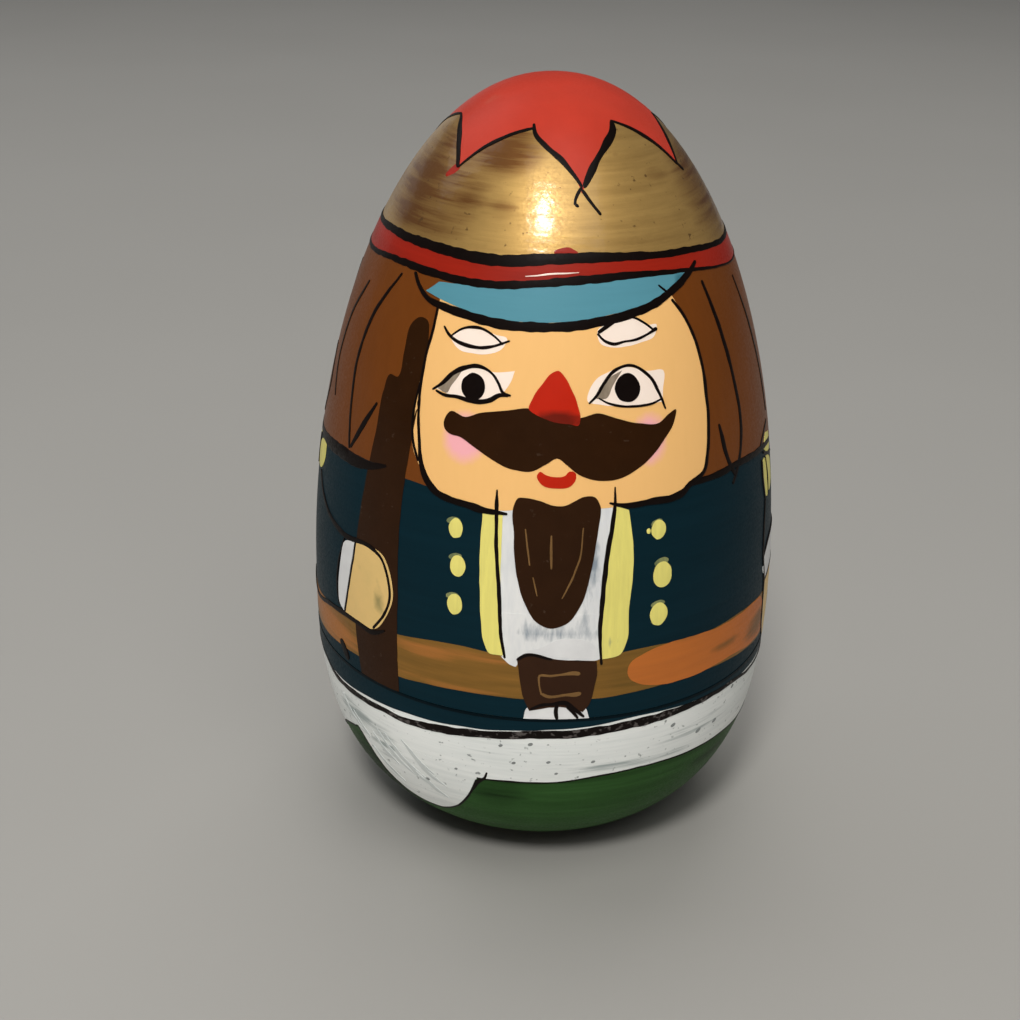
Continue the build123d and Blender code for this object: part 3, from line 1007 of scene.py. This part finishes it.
    strokes = [
        # the edge of the face, left and right, and the heavy jaw
        [(-34.9, 88.2, 0.4), (-34.8, 85.2, 0.45), (-35.5, 82.0, 0.45), (-35.6, 77.2, 0.45),
         (-35.0, 73.6, 0.45), (-34.0, 70.6, 0.5), (-32.7, 67.4, 0.7), (-31.1, 65.5, 1.0),
         (-28.3, 63.9, 1.1), (-23.9, 63.1, 1.0), (-20.2, 62.9, 1.0), (-15.8, 62.4, 1.1),
         (-10.2, 62.2, 0.3)],
        [(-35.9, 77.8, 0.25), (-36.5, 75.1, 0.35), (-36.4, 71.9, 0.4), (-35.4, 69.5, 0.4),
         (-33.4, 67.4, 0.4)],
        [(35.4, 89.2, 0.5), (38.6, 86.9, 0.5), (41.0, 84.0, 0.5), (42.3, 80.7, 0.55), (42.5, 76.6, 0.6),
         (42.2, 72.5, 0.6), (41.1, 68.5, 0.6), (39.5, 65.9, 0.6), (36.9, 65.0, 0.8), (34.5, 64.5, 0.9),
         (32.6, 63.7, 1.1), (29.6, 63.3, 1.1), (25.9, 63.3, 1.1), (22.0, 63.3, 0.9), (18.6, 63.2, 0.9),
         (16.0, 63.4, 0.7), (13.3, 63.9, 0.3)],
        # brows
        [(-31.6, 85.6, 0.25), (-29.8, 84.7, 0.4), (-27.5, 84.1, 0.5), (-24, 83.7, 0.55), (-19.9, 83.7, 0.5),
         (-16.8, 84.0, 0.45), (-12.2, 84.9, 0.3)],
        [(-29.0, 84.5, 0.25), (-27.1, 85.3, 0.3), (-24.7, 85.9, 0.4), (-21.4, 86.1, 0.45),
         (-18.6, 85.8, 0.4), (-16.3, 85.2, 0.35), (-14.0, 84.3, 0.35)],
        [(11.2, 86.0, 0.35), (12.9, 85.1, 0.45), (15.6, 84.6, 0.5), (18.9, 84.8, 0.4), (23.2, 85.0, 0.4),
         (26.3, 85.5, 0.4), (28.8, 86.0, 0.6)],
        [(11.4, 86.1, 0.5), (13.5, 86.7, 0.6), (16, 87.3, 0.5), (19.9, 87.8, 0.4), (22.9, 87.5, 0.35),
         (25, 86.9, 0.35), (28.0, 85.6, 0.3)],
        # eyes: lid and lower edge
        [(-31.9, 77.3, 0.35), (-29.4, 78.4, 0.6), (-26.9, 79.8, 0.75), (-23.5, 80.9, 0.7),
         (-20.4, 81.3, 0.6), (-17.7, 81.0, 0.45), (-15.7, 80.4, 0.4), (-14.2, 79.4, 0.4),
         (-12.8, 78.2, 0.5), (-10.9, 78.0, 0.3)],
        [(-31.0, 77.3, 0.35), (-28.1, 76.9, 0.5), (-24.9, 77.0, 0.55), (-21.8, 76.8, 0.7),
         (-18.8, 76.8, 0.75), (-15.9, 77.2, 0.75), (-13.8, 77.9, 0.65), (-11.4, 78.0, 0.6)],
        [(8.5, 77.2, 0.3), (10.5, 78.2, 0.45), (12.4, 79.7, 0.5), (14.4, 80.9, 0.5), (17.2, 81.6, 0.45),
         (20, 81.7, 0.45), (22.7, 81.1, 0.45), (25.4, 79.8, 0.5), (26.9, 78.2, 0.5), (28.2, 76.6, 0.4),
         (28.9, 75.5, 0.25)],
        [(11.0, 77.9, 0.25), (13.4, 77.1, 0.35), (17.1, 76.6, 0.4), (21.6, 76.4, 0.4), (25.2, 76.5, 0.35),
         (28.0, 76.9, 0.25)],
    ]
    lines(doll, "cap", 5, strokes)


def paint_visor(doll):
    """The hat's visor and the dark lines along it."""
    shape = [(-40.2, 89.4, CORNER), (-33, 88.6), (-27, 88.1), (-16.5, 87.5), (-7, 87.4), (2, 87.5),
             (11, 88.0), (20, 88.6), (29, 89.5), (38.5, 91.2), (42.6, 92.0, CORNER), (33, 92.6),
             (22.5, 92.8), (13, 92.6), (4, 92.4), (-5, 92.1), (-13.5, 91.5), (-23, 91.2), (-32, 91.0),
             (-36.4, 90.8, CORNER)]
    patch(doll.coat("cap", "visor"), shape, 4)
    # a painted highlight: a thin cream line along the visor's top edge
    stroke(doll.coat("cap", "cream"), [(-9.4, 92.85, 0.12), (-1.5, 93.3, 0.26), (6.6, 93.5, 0.1)], 5)
    lines(doll, "cap", 5, [
        [(-46.5, 91.2, 0.5), (-43, 89.6, 0.6), (-39, 88.5, 0.8), (-33, 87.9, 1.2), (-26.5, 87.5, 1.3),
         (-16, 86.9, 1.5), (-7, 86.8, 1.5), (2, 86.9, 1.5), (11, 87.4, 1.4), (20, 88.0, 1.4),
         (29, 89.0, 1.3), (37, 90.4, 1.2), (45, 92.0, 0.9), (49, 93.0, 0.5)],
        [(31.5, 91.2, 0.3), (35.5, 89.6, 0.5)],
    ])


def paint_coat(doll):
    """The coat's front: shirt, lapels and buttons."""
    ring(doll.coat("cap", "coat"), CAP_EDGE, 66.0, 0)
    shirt = [(-12.4, 62.8), (0, 63.4), (14.8, 63.8), (14.2, 58), (13.0, 52), (12.2, 46), (12.0, 41.0),
             (4, 41.2), (-6.4, 41.8), (-7.2, 39.7), (-10.0, 40.8), (-11, 48), (-11.9, 56)]
    patch(doll.coat("cap", "shirt"), shirt, 1)
    tail = [(-11.2, 48, CORNER), (-10.0, 41.0), (-8.7, 40.1), (-7.2, 39.8), (-6.4, 41.2), (4, 41.0),
            (12.0, 41.0, CORNER), (12.3, 48, CORNER)]
    patch(doll.coat("cap", "shirt"), tail, 2, waver=0.04)
    patch(doll.coat("cap", "white"), [(-5, 42.2), (-1.8, 42.9), (2, 44.3), (5.9, 44.5), (11.0, 42.7),
                                      (11.6, 41.2), (3, 41.5), (-4.6, 41.2)], 3, waver=0.16)
    left = [(-15.9, 62.2, CORNER), (-11.3, 62.2, CORNER), (-11.2, 58.6), (-11.2, 55), (-10.9, 48),
            (-10.5, 44), (-10.2, 41.4, CORNER), (-11.6, 41.4), (-13.2, 41.5), (-14.4, 42.8), (-15.2, 45.6),
            (-15.7, 49.1), (-16.0, 53.3), (-16.2, 57.5)]
    right = [(14.4, 63.4, CORNER), (18.1, 62.6, CORNER), (19.1, 57.5), (19.0, 52.5), (18.3, 48.3),
             (18.1, 43.4), (16.6, 41.3), (12.2, 40.9, CORNER), (11.9, 46), (12.3, 52), (13.0, 56.6),
             (13.7, 59.9)]
    for lapel in (left, right):
        patch(doll.coat("cap", "yellow"), lapel, 3, dome=0.02)
    lines(doll, "cap", 4, [
        [(-12.9, 65.5, 0.25), (-12.8, 63.5, 0.6), (-12.7, 61.8, 0.6), (-12.4, 57.7, 0.6),
         (-11.9, 54.5, 0.55), (-11.4, 51.1, 0.65), (-11.1, 47.7, 0.6), (-10.6, 44.2, 0.55),
         (-9.7, 41.0, 0.4)],
        [(14.7, 66.0, 0.25), (14.7, 63.9, 0.5), (13.9, 59.9, 0.7), (13.1, 57.1, 0.7), (12.5, 54.2, 0.75),
         (12.0, 49.6, 0.75), (11.6, 45.2, 0.65), (12.3, 40.0, 0.35)],
    ])
    buttons = [(-22.2, 59.3, 2.1, 2.8), (-21.3, 53.9, 2.3, 3.1), (-21.7, 48.2, 2.3, 3.1),
               (25.6, 59.2, 2.3, 2.7), (26.7, 52.5, 3.0, 3.9), (25.9, 46.6, 2.8, 3.5),
               (23.0, 59.2, 0.6, 0.8)]
    yellow = doll.coat("cap", "yellow")
    for number, (angle, z, width, height) in enumerate(buttons):
        blob(yellow, angle, z, width, height, 2, bulge=0.09, seed=number * 5.0)
    # the half-dry tail that the brush left over each button
    tails = [(-22.9, 60.3, 2.0, 1.1), (-22.0, 55.2, 1.9, 1.1), (-22.4, 49.4, 1.9, 1.0),
             (25.2, 60.2, 1.8, 1.0), (26.4, 54.4, 2.2, 1.2), (25.6, 48.2, 2.2, 1.0)]
    for number, (angle, z, width, height) in enumerate(tails):
        blob(doll.coat("cap", "olive"), angle, z, width, height, 1, bulge=0.02, lean=0.5,
             seed=20.0 + number)
    # the back: a middle seam, two buttons at the waist and the folds of the skirt
    lines(doll, "cap", 1, [
        [(180, 62.4, 0.5), (180.6, 54, 0.8), (179.4, 46, 0.8), (180, 42.2, 0.5)],
        [(150, 61.8, 0.4), (153, 54, 0.7), (158, 47, 0.7), (161, 42.2, 0.4)],
        [(210, 61.8, 0.4), (207, 54, 0.7), (202, 47, 0.7), (199, 42.2, 0.4)],
    ])
    for number, angle in enumerate((171, 189)):
        blob(yellow, angle, 44.6, 2.8, 2.9, 1, bulge=0.09, seed=40.0 + number)


def paint_arms_and_gun(doll):
    """The gun, both hands and cuffs, and the lines of the sleeves."""
    gun = [(-40.6, 85.9), (-37.0, 85.6), (-35.9, 83.5), (-35.3, 78), (-36.0, 71), (-36.9, 64), (-37.3, 57),
           (-36.9, 47), (-36.9, 38), (-36.6, CAP_EDGE, CORNER),
           (-49.6, CAP_EDGE, CORNER), (-51.2, 38), (-51.4, 46), (-51.3, 54), (-50.4, 59),
           (-49.4, 64), (-48.2, 70), (-47.9, 75.2), (-46.6, 77.6), (-43.8, 77.6), (-43.1, 81),
           (-42.8, 84.6)]
    patch(doll.coat("cap", "dark"), gun, 2)
    hand = [(-51.6, 52.1, CORNER), (-46.1, 52.8), (-42.0, 52.3), (-39.6, 50.4), (-38.5, 48.3),
            (-38.4, 45.9), (-40.2, 43.0), (-43.8, 40.3), (-49.9, 39.7), (-55.8, 40.0, CORNER),
            (-54.1, 44.7), (-52.5, 49.3)]
    patch(doll.coat("cap", "hand"), hand, 3, dome=0.03)
    cuff = [(-56.4, 51.3), (-51.8, 52.1, CORNER), (-52.5, 49.3), (-54.1, 44.7), (-56.0, 40.0, CORNER),
            (-58.4, 40.7), (-59.1, 43.4), (-58.2, 47.8)]
    patch(doll.coat("cap", "white"), cuff, 3)
    outer_hand = [(69.8, 42.0, CORNER), (80, 43.2), (93, 42.4, CORNER), (92, 37), (88, 32.6),
                  (80, CAP_EDGE, CORNER), (75, CAP_EDGE, CORNER), (71, 33.9), (69.9, 38)]
    patch(doll.coat("cap", "hand"), outer_hand, 3, dome=0.03)
    outer_cuff = [(67.4, 46.8, CORNER), (71, 48.2), (80, 49.2), (93, 48.0, CORNER), (93.5, 43.4, CORNER),
                  (80, 44.0), (69.4, 42.9, CORNER), (67.7, 44.6)]
    patch(doll.coat("cap", "white"), outer_cuff, 3)
    pads = [
        [(67.6, 61.8), (69.6, 62.2), (71.3, 58.8), (71.0, 56.0), (69.2, 56.4), (67.8, 58.6)],
        [(71.2, 61.9), (76.5, 60.8), (77, 57), (73.5, 56.2), (72.4, 58.8)],
        [(69.6, 63.6, CORNER), (72.0, 65.2), (78, 64.6, CORNER), (77.5, 62.4), (71.5, 62.8)],
        [(-74.2, 62.4, CORNER), (-80, 61.8), (-84, 60.0), (-82.6, 57.8), (-77.5, 57.8), (-74.2, 59.8)],
        [(-86.4, 61.4), (-91.5, 60.6), (-90.6, 57.2), (-86.0, 57.6)],
    ]
    for pad in pads:
        patch(doll.coat("cap", "yellow"), pad, 2)
    lines(doll, "cap", 4, [
        # the gun arm: upper and lower edge of the sleeve, hand and cuff
        [(-77, 57.6, 0.4), (-74, 55.8, 0.5), (-70.8, 54.5, 0.6), (-66.6, 53.3, 0.7), (-61.5, 52.5, 0.8),
         (-56.1, 52.1, 0.8), (-50.5, 52.6, 0.8), (-45.4, 52.6, 0.7), (-42.4, 51.8, 0.55),
         (-40.6, 50.2, 0.5), (-39.4, 48.0, 0.5), (-39.3, 45.7, 0.5), (-41.0, 43.1, 0.55),
         (-44.6, 40.2, 0.5)],
        [(-88, 38.6, 0.4), (-76.7, 37.2, 0.6), (-64.7, 38.9, 0.8), (-56.3, 39.6, 0.9), (-50, 39.7, 0.9),
         (-44.6, 39.5, 0.9), (-40.6, 40.7, 0.4)],
        [(-51.7, 52.2, 0.5), (-52.5, 49.3, 0.55), (-54.1, 44.7, 0.5), (-56.0, 40.0, 0.5)],
        [(-56.9, 51.6, 0.25), (-59.2, 47.4, 0.35), (-60.0, 43.4, 0.35), (-59.0, 40.4, 0.3)],
        [(-58.6, 34.7, 1.2), (-57.6, 34.0, 1.6), (-56.4, 33.1, 1.4),
         (-55.2, CAP_EDGE + 0.6, 0.9)],
        # the other arm hangs at the side
        [(68.6, 56.0, 0.35), (67.3, 51.5, 0.55), (67.2, 47.0, 0.6), (69.2, 42.6, 0.6), (69.9, 38, 0.6),
         (71.2, 34, 0.6), (73.6, 32, 0.4)],
        [(67.2, 46.9, 0.4), (71, 48.4, 0.5), (80, 49.3, 0.6), (93, 48.1, 0.5)],
        [(68.8, 42.5, 0.6), (80, 43.6, 0.7), (93.6, 42.9, 0.5)],
        [(96, 58, 0.4), (96, 52, 0.7), (94.0, 45, 0.7), (93.4, 40, 0.6), (91.6, 35, 0.6), (88.4, 32, 0.4)],
        [(80.5, 37.5, 0.3), (81.5, 34.5, 0.5), (82, 32.2, 0.3)],
        [(67.2, 62.4, 0.5), (67.2, 59.5, 0.5), (68.8, 56.0, 0.5)],
        [(70.5, 62.2, 0.35), (71.9, 59.0, 0.4), (71.8, 56.0, 0.35)],
        [(68.6, 63.2, 0.4), (73, 62.3, 0.45), (79, 61.4, 0.4)],
        [(-85.2, 61.6, 0.4), (-85.4, 59.0, 0.6), (-84.2, 57.0, 0.4)],
    ])


def paint_belt(doll):
    """The belt and its buckle."""
    ring(doll.coat("cap", "belt"), round_edge(BELT_FOOT), round_edge(BELT_TOP), 1)
    orange = [(18.6, 38.4), (19.4, 39.7), (22.2, 40.7), (26.4, 41.4), (32.8, 41.6), (43.5, 41.2),
              (51.6, 41.1), (61, 41.0), (67.5, 40.3), (70.5, 37.5), (71.0, 34.2), (63, 34.0), (52.3, 34.9),
              (44.7, 35.0), (38.9, 34.9), (32.3, 34.9), (26.2, 35.2), (21.8, 36.0), (19.4, 37.1)]
    patch(doll.coat("cap", "orange"), orange, 2, waver=0.14)
    patch(doll.coat("cap", "white"), [(-5.2, CAP_EDGE, CORNER), (-4.4, 33.2), (1.2, 33.4), (9.0, 33.2),
                                      (10.0, CAP_EDGE, CORNER)], 2, waver=0.05)
    buckle = [(-6.9, 40.8, CORNER), (-4.8, 41.8, CORNER), (1.5, 41.2), (11.1, 40.6, CORNER), (11.3, 38.6),
              (10.8, 36.6), (9.8, 33.8), (8.4, 32.6, CORNER), (2.6, 33.6), (-3.8, 32.8, CORNER),
              (-5.3, 35.0), (-6.2, 38)]
    patch(doll.coat("cap", "leather"), buckle, 4, dome=0.04)
    bars = [[(-1.2, 35.5, 0.3), (-1.8, 37.4, 0.3), (-1.7, 38.6, 0.4), (0.6, 38.6, 0.45), (2.9, 38.8, 0.4),
             (6.9, 38.9, 0.7), (7.4, 38.8, 0.6)],
            [(-1.2, 35.7, 0.5), (0.0, 35.3, 0.6), (4.2, 35.5, 0.45), (7.4, 35.7, 0.7), (7.8, 35.8, 0.5)]]
    for bar in bars:
        stroke(doll.coat("cap", "tan"), bar, 5)
    lines(doll, "cap", 5, [
        [(-3.6, 33.0, 0.5), (-1.4, 33.8, 0.6), (1.2, 34.0, 0.7), (4.2, 34.2, 0.8), (6.6, 33.0, 0.7),
         (8.8, CAP_EDGE + 0.3, 0.4)],
        [(2.4, 34.0, 0.6), (2.2, 32.9, 0.7), (2.6, CAP_EDGE, 0.5)],
        [(4.6, 33.6, 0.4), (6.4, 32.4, 0.5), (7.4, CAP_EDGE + 0.1, 0.4)],
        [(-7.0, 40.9, 0.5), (-5.0, 41.7, 0.6), (1, 41.2, 0.4)],
    ])


BASE_WHITE_FOOT = [
    (-180, 20.4), (-108, 20.2), (-56, 19.9), (-16.7, 19.6), (-7, 19.8), (2, 19.9), (12, 20.6), (24, 21.0),
    (39, 20.7), (51, 20.5), (65, 19.9), (100, 19.6), (140, 20.6),
]
BASE_LINE = [
    (-180, 28.4, 1.0), (-110, 27.8, 1.0), (-69, 27.5, 0.7), (-64, 26.7, 0.9), (-59, 26.6, 1.0),
    (-53, 26.7, 1.0), (-46, 26.9, 1.1), (-42, 27.0, 1.0), (-37, 26.8, 1.0), (-31, 27.0, 1.4),
    (-26, 27.3, 1.5), (-18, 27.8, 1.5), (-11, 28.2, 1.5), (-2, 28.7, 1.5), (6, 28.8, 1.6), (11, 29.0, 1.6),
    (15, 29.2, 1.6), (21, 29.4, 1.6), (27, 29.5, 1.6), (34, 29.7, 1.4), (40, 29.8, 1.1), (46, 29.9, 0.9),
    (54, 29.8, 0.7), (61, 29.2, 0.5), (90, 28.9, 0.8), (140, 28.4, 1.1),
]
LOBE = [
    (-56, 20.2), (-54.1, 19.0), (-51.9, 16.8), (-48.2, 12.8), (-41.8, 9.6), (-36, 9.0), (-30.9, 9.4),
    (-24.1, 11.8), (-18.9, 16.2), (-16.8, 19.3),
]
OTHER_LOBE = [
    (-57, 19.7), (-61, 18.9), (-67, 17.4), (-73, 14.5), (-79, 11.5), (-86, 9.8), (-93, 10.2), (-99, 12.5),
    (-104, 16.5), (-107, 20.0),
]
# brush streaks down the lobe: angle, height and length of each
STREAKS = [
    (-48.2, 21.3, 8), (-46, 22.4, 12), (-43.2, 22.5, 10), (-40.4, 20.7, 12), (-37.5, 22.8, 9),
    (-34.9, 20.9, 9), (-50, 18.0, 9), (-33, 17.0, 7), (-61, 24.5, 7), (-56, 23.0, 6),
]
# specks in the white: angle, height and size of each
FLECKS = [
    (53.7, 28.9, 0.7), (32.4, 27.3, 0.8), (41.6, 24.2, 1.0), (47.7, 24.4, 0.9), (-3.4, 27.0, 0.7),
    (-10.4, 26.4, 0.6), (-7.3, 23.4, 0.6), (1.0, 23.8, 0.6), (11.8, 23.5, 0.6), (-31.4, 16.3, 0.8),
    (-22, 20.5, 0.5), (3, 21.6, 0.5), (120, 24.5, 0.8), (158, 23.0, 0.6), (196, 25.0, 0.9),
    (240, 22.5, 0.7),
]


def paint_base(doll):
    """The lower half: the coat's hem, white trousers and green ground."""
    ring(doll.coat("base", "green"), 0.45, 21.5, 0)
    ring(doll.coat("base", "trousers"), round_edge(BASE_WHITE_FOOT), 31.0, 1)
    hem_foot = [(-180, 29.4), (-100, 28.4), (-73, 27.4), (-66, 27.3), (-60, 27.4), (-53, 27.6), (-46, 27.9),
                (-40, 28.1), (-33, 28.3), (-26, 28.5), (-20, 28.7), (-16, 28.8), (-8, 29.2), (0, 29.6),
                (7, 29.8), (14, 30.2), (22, 30.6), (27, 30.6), (34, 30.4), (46, 30.3), (58, 29.8),
                (90, 29.6), (140, 29.2)]
    ring(doll.coat("base", "coat"), round_edge(hem_foot), SEAM_Z - SEAM_SHADOW_HEIGHT, 2)
    # painted shadow along the seam: a band of darkened coat colour just under the cap
    ring(doll.coat("base", "seam"), SEAM_Z - SEAM_SHADOW_HEIGHT, SEAM_Z, 2)
    for lobe in (LOBE, OTHER_LOBE):
        first, last = lobe[0], lobe[-1]
        patch(doll.coat("base", "trousers"), [(first[0], 21.5, CORNER), *lobe, (last[0], 21.5, CORNER)], 1)
        lines(doll, "base", 2, [[(angle, z - 0.2, 0.4) for angle, z in lobe]])
    for number, (angle, z, long) in enumerate(STREAKS):
        stroke(doll.coat("base", "smear"), [(angle, z, 0.3), (angle + 0.5 * long, z - 0.35 * long, 1.0),
                                            (angle + long, z - 0.55 * long, 0.2)], 2, waver=0.2,
               seed=number * 2.0)
    for number, (angle, z, size) in enumerate(FLECKS):
        blob(doll.coat("base", "fleck"), angle, z, size, 0.8 * size, 2, bulge=0.02, lean=0.4,
             seed=number * 3.0)
    stroke(doll.coat("base", "dry_line"), BASE_LINE + [(180, *BASE_LINE[0][1:])], 3, waver=0.1)
    lines(doll, "base", 2, [
        [(-18.4, 16.6, 0.5), (-16.2, 18.8, 0.7), (-14.8, 19.6, 0.5), (-14.0, 20.9, 0.3)],
        [(angle, z - 0.15, 0.3) for angle, z in BASE_WHITE_FOOT if angle > -17] + [(180, 20.2, 0.3)],
    ])


def paint_soldier(doll):
    paint_coat(doll)
    paint_hair(doll)
    paint_hat(doll)
    paint_face(doll)
    paint_visor(doll)
    paint_belt(doll)
    paint_arms_and_gun(doll)
    paint_base(doll)


# ---------------------------------------------------------------- the nest
NAVY, DARK_NAVY = (0.003, 0.020, 0.030), (0.0015, 0.012, 0.018)
CRIMSON, DARK_CRIMSON = (0.20, 0.012, 0.012), (0.12, 0.007, 0.008)
FOREST, DARK_FOREST = (0.012, 0.075, 0.030), (0.007, 0.045, 0.018)
RED = (0.51, 0.038, 0.018)
GREEN = (0.05, 0.16, 0.05)
BLUE = (0.10, 0.25, 0.33)
TEAL = (0.090, 0.275, 0.345)
MIDNIGHT = (0.02, 0.025, 0.04)
OCHRE = (0.10, 0.05, 0.02)
SCARLET = (0.35, 0.03, 0.015)
BROWN = (0.165, 0.046, 0.006)
DARK_BROWN = (0.06, 0.022, 0.010)

wood = bare_wood()
# each doll's name and bodies, how far its base is twisted against its cap, and the colours
# of its coat, the coat's darker streaks, star, visor and hair
nest = [
    (Doll("outer", "outer_base", "outer_cap", 0.0), (NAVY, DARK_NAVY, RED, TEAL, BROWN)),
    (Doll("second", "second_base", "second_cap", 24.0), (CRIMSON, DARK_CRIMSON, GREEN, MIDNIGHT, BROWN)),
    (Doll("third", "third_base", "third_cap", -17.0), (FOREST, DARK_FOREST, RED, OCHRE, DARK_BROWN)),
    (Doll("fourth", "fourth_base", "fourth_cap", 9.0), (NAVY, DARK_NAVY, BLUE, SCARLET, BROWN)),
    (Doll("innermost", "innermost_doll", "innermost_doll", 0.0), (CRIMSON, DARK_CRIMSON, RED, TEAL, BROWN)),
]
for doll, colours in nest:
    paint_soldier(doll)
    make_coats(doll, soldier_paints(doll.name, *colours))
    make_wood(doll, wood, hollow=doll.base != doll.cap)

# ---------------------------------------------------------------- floor, light and camera
FLOOR_SIZE = 1.6


def add_floor():
    """The pale floor, and the collection that keeps some lamps off it."""
    corners = [(-FLOOR_SIZE, -FLOOR_SIZE, 0), (FLOOR_SIZE, -FLOOR_SIZE, 0), (FLOOR_SIZE, FLOOR_SIZE, 0),
               (-FLOOR_SIZE, FLOOR_SIZE, 0)]
    mesh = bpy.data.meshes.new("floor")
    mesh.from_pydata(corners, [], [(0, 1, 2, 3)])
    mesh.materials.append(floor_material())
    floor = bpy.data.objects.new("floor", mesh)
    bpy.context.scene.collection.objects.link(floor)
    spared = bpy.data.collections.new("all_but_the_floor")
    spared.objects.link(floor)
    spared.collection_objects[0].light_linking.link_state = "EXCLUDE"


def add_light(name, azimuth, elevation, distance, size, power, colour, shape="RECTANGLE",
              seen_in_gloss=True, on_floor=True):
    """A lamp that faces the doll's middle, from a direction and a distance."""
    light = bpy.data.lights.new(name, "AREA")
    light.shape = shape
    light.size, light.size_y = size
    light.energy = power
    light.color = colour
    lamp = bpy.data.objects.new(name, light)
    lamp.visible_glossy = seen_in_gloss
    lamp.visible_camera = False
    if not on_floor:
        lamp.light_linking.receiver_collection = bpy.data.collections["all_but_the_floor"]
    a, e = radians(azimuth), radians(elevation)
    back = Vector((sin(a) * cos(e), -cos(a) * cos(e), sin(e)))
    lamp.location = Vector((0, 0, HEIGHT * MM / 2)) + back * distance
    lamp.rotation_euler = back.to_track_quat("Z", "Y").to_euler()
    bpy.context.scene.collection.objects.link(lamp)


def add_camera():
    """A close, slightly raised view, a touch to the viewer's left of the face."""
    azimuth, elevation, distance = -2.0, 22.34, 0.2611
    look_right, look_down, roll = -1.23, 1.95, 1.2
    picture, focal = 1020, 1700
    a, e = radians(azimuth), radians(elevation)
    back = Vector((sin(a) * cos(e), -cos(a) * cos(e), sin(e)))
    heading, pitch = radians(look_right) - a, -e - radians(look_down)
    forward = Vector((sin(heading) * cos(pitch), cos(heading) * cos(pitch), sin(pitch)))
    right = forward.cross(Vector((0, 0, 1))).normalized()
    up = right.cross(forward)
    tilted = right * cos(radians(roll)) + up * sin(radians(roll))
    up = tilted.cross(forward)
    data = bpy.data.cameras.new("camera")
    data.sensor_width = 36
    data.lens = focal / picture * data.sensor_width
    data.clip_start = 0.01
    camera = bpy.data.objects.new("camera", data)
    camera.matrix_world = Matrix.Translation(Vector((0, 0, HEIGHT * MM / 2)) + back * distance) @ Matrix(
        (tilted, up, -forward)).transposed().to_4x4()
    bpy.context.scene.collection.objects.link(camera)
    bpy.context.scene.camera = camera


add_floor()
add_light("ceiling_lamp", -10, 50, 0.9, (0.16, 0.19), 3.6, (1.0, 0.98, 0.95), shape="ELLIPSE")
add_light("ceiling_glow", 12, 60, 1.2, (0.9, 0.9), 4.0, (1.0, 0.97, 0.93))
add_light("front_fill", -16, 14, 1.3, (1.5, 1.2), 10.1, (1.0, 0.98, 0.95), seen_in_gloss=False,
          on_floor=False)
add_light("back_fill", 170, 60, 1.2, (0.8, 0.8), 4.0, (1.0, 0.99, 0.97), seen_in_gloss=False)
add_light("side_fill", 125, 30, 1.2, (1.0, 1.0), 2.6, (1.0, 0.99, 0.97), seen_in_gloss=False,
          on_floor=False)
add_light("rim", -122, 48, 1.2, (0.9, 0.7), 2.0, (0.97, 0.98, 1.0))
add_light("back_card", -150, 6, 1.1, (1.0, 0.4), 0.35, (1.0, 0.98, 0.96), on_floor=False)
world = bpy.data.worlds.new("room")
world.use_nodes = True
world.node_tree.nodes["Background"].inputs["Color"].default_value = (0.80, 0.82, 0.85, 1)
world.node_tree.nodes["Background"].inputs["Strength"].default_value = 0.09
bpy.context.scene.world = world
bpy.context.scene.view_settings.view_transform = "Standard"
add_camera()
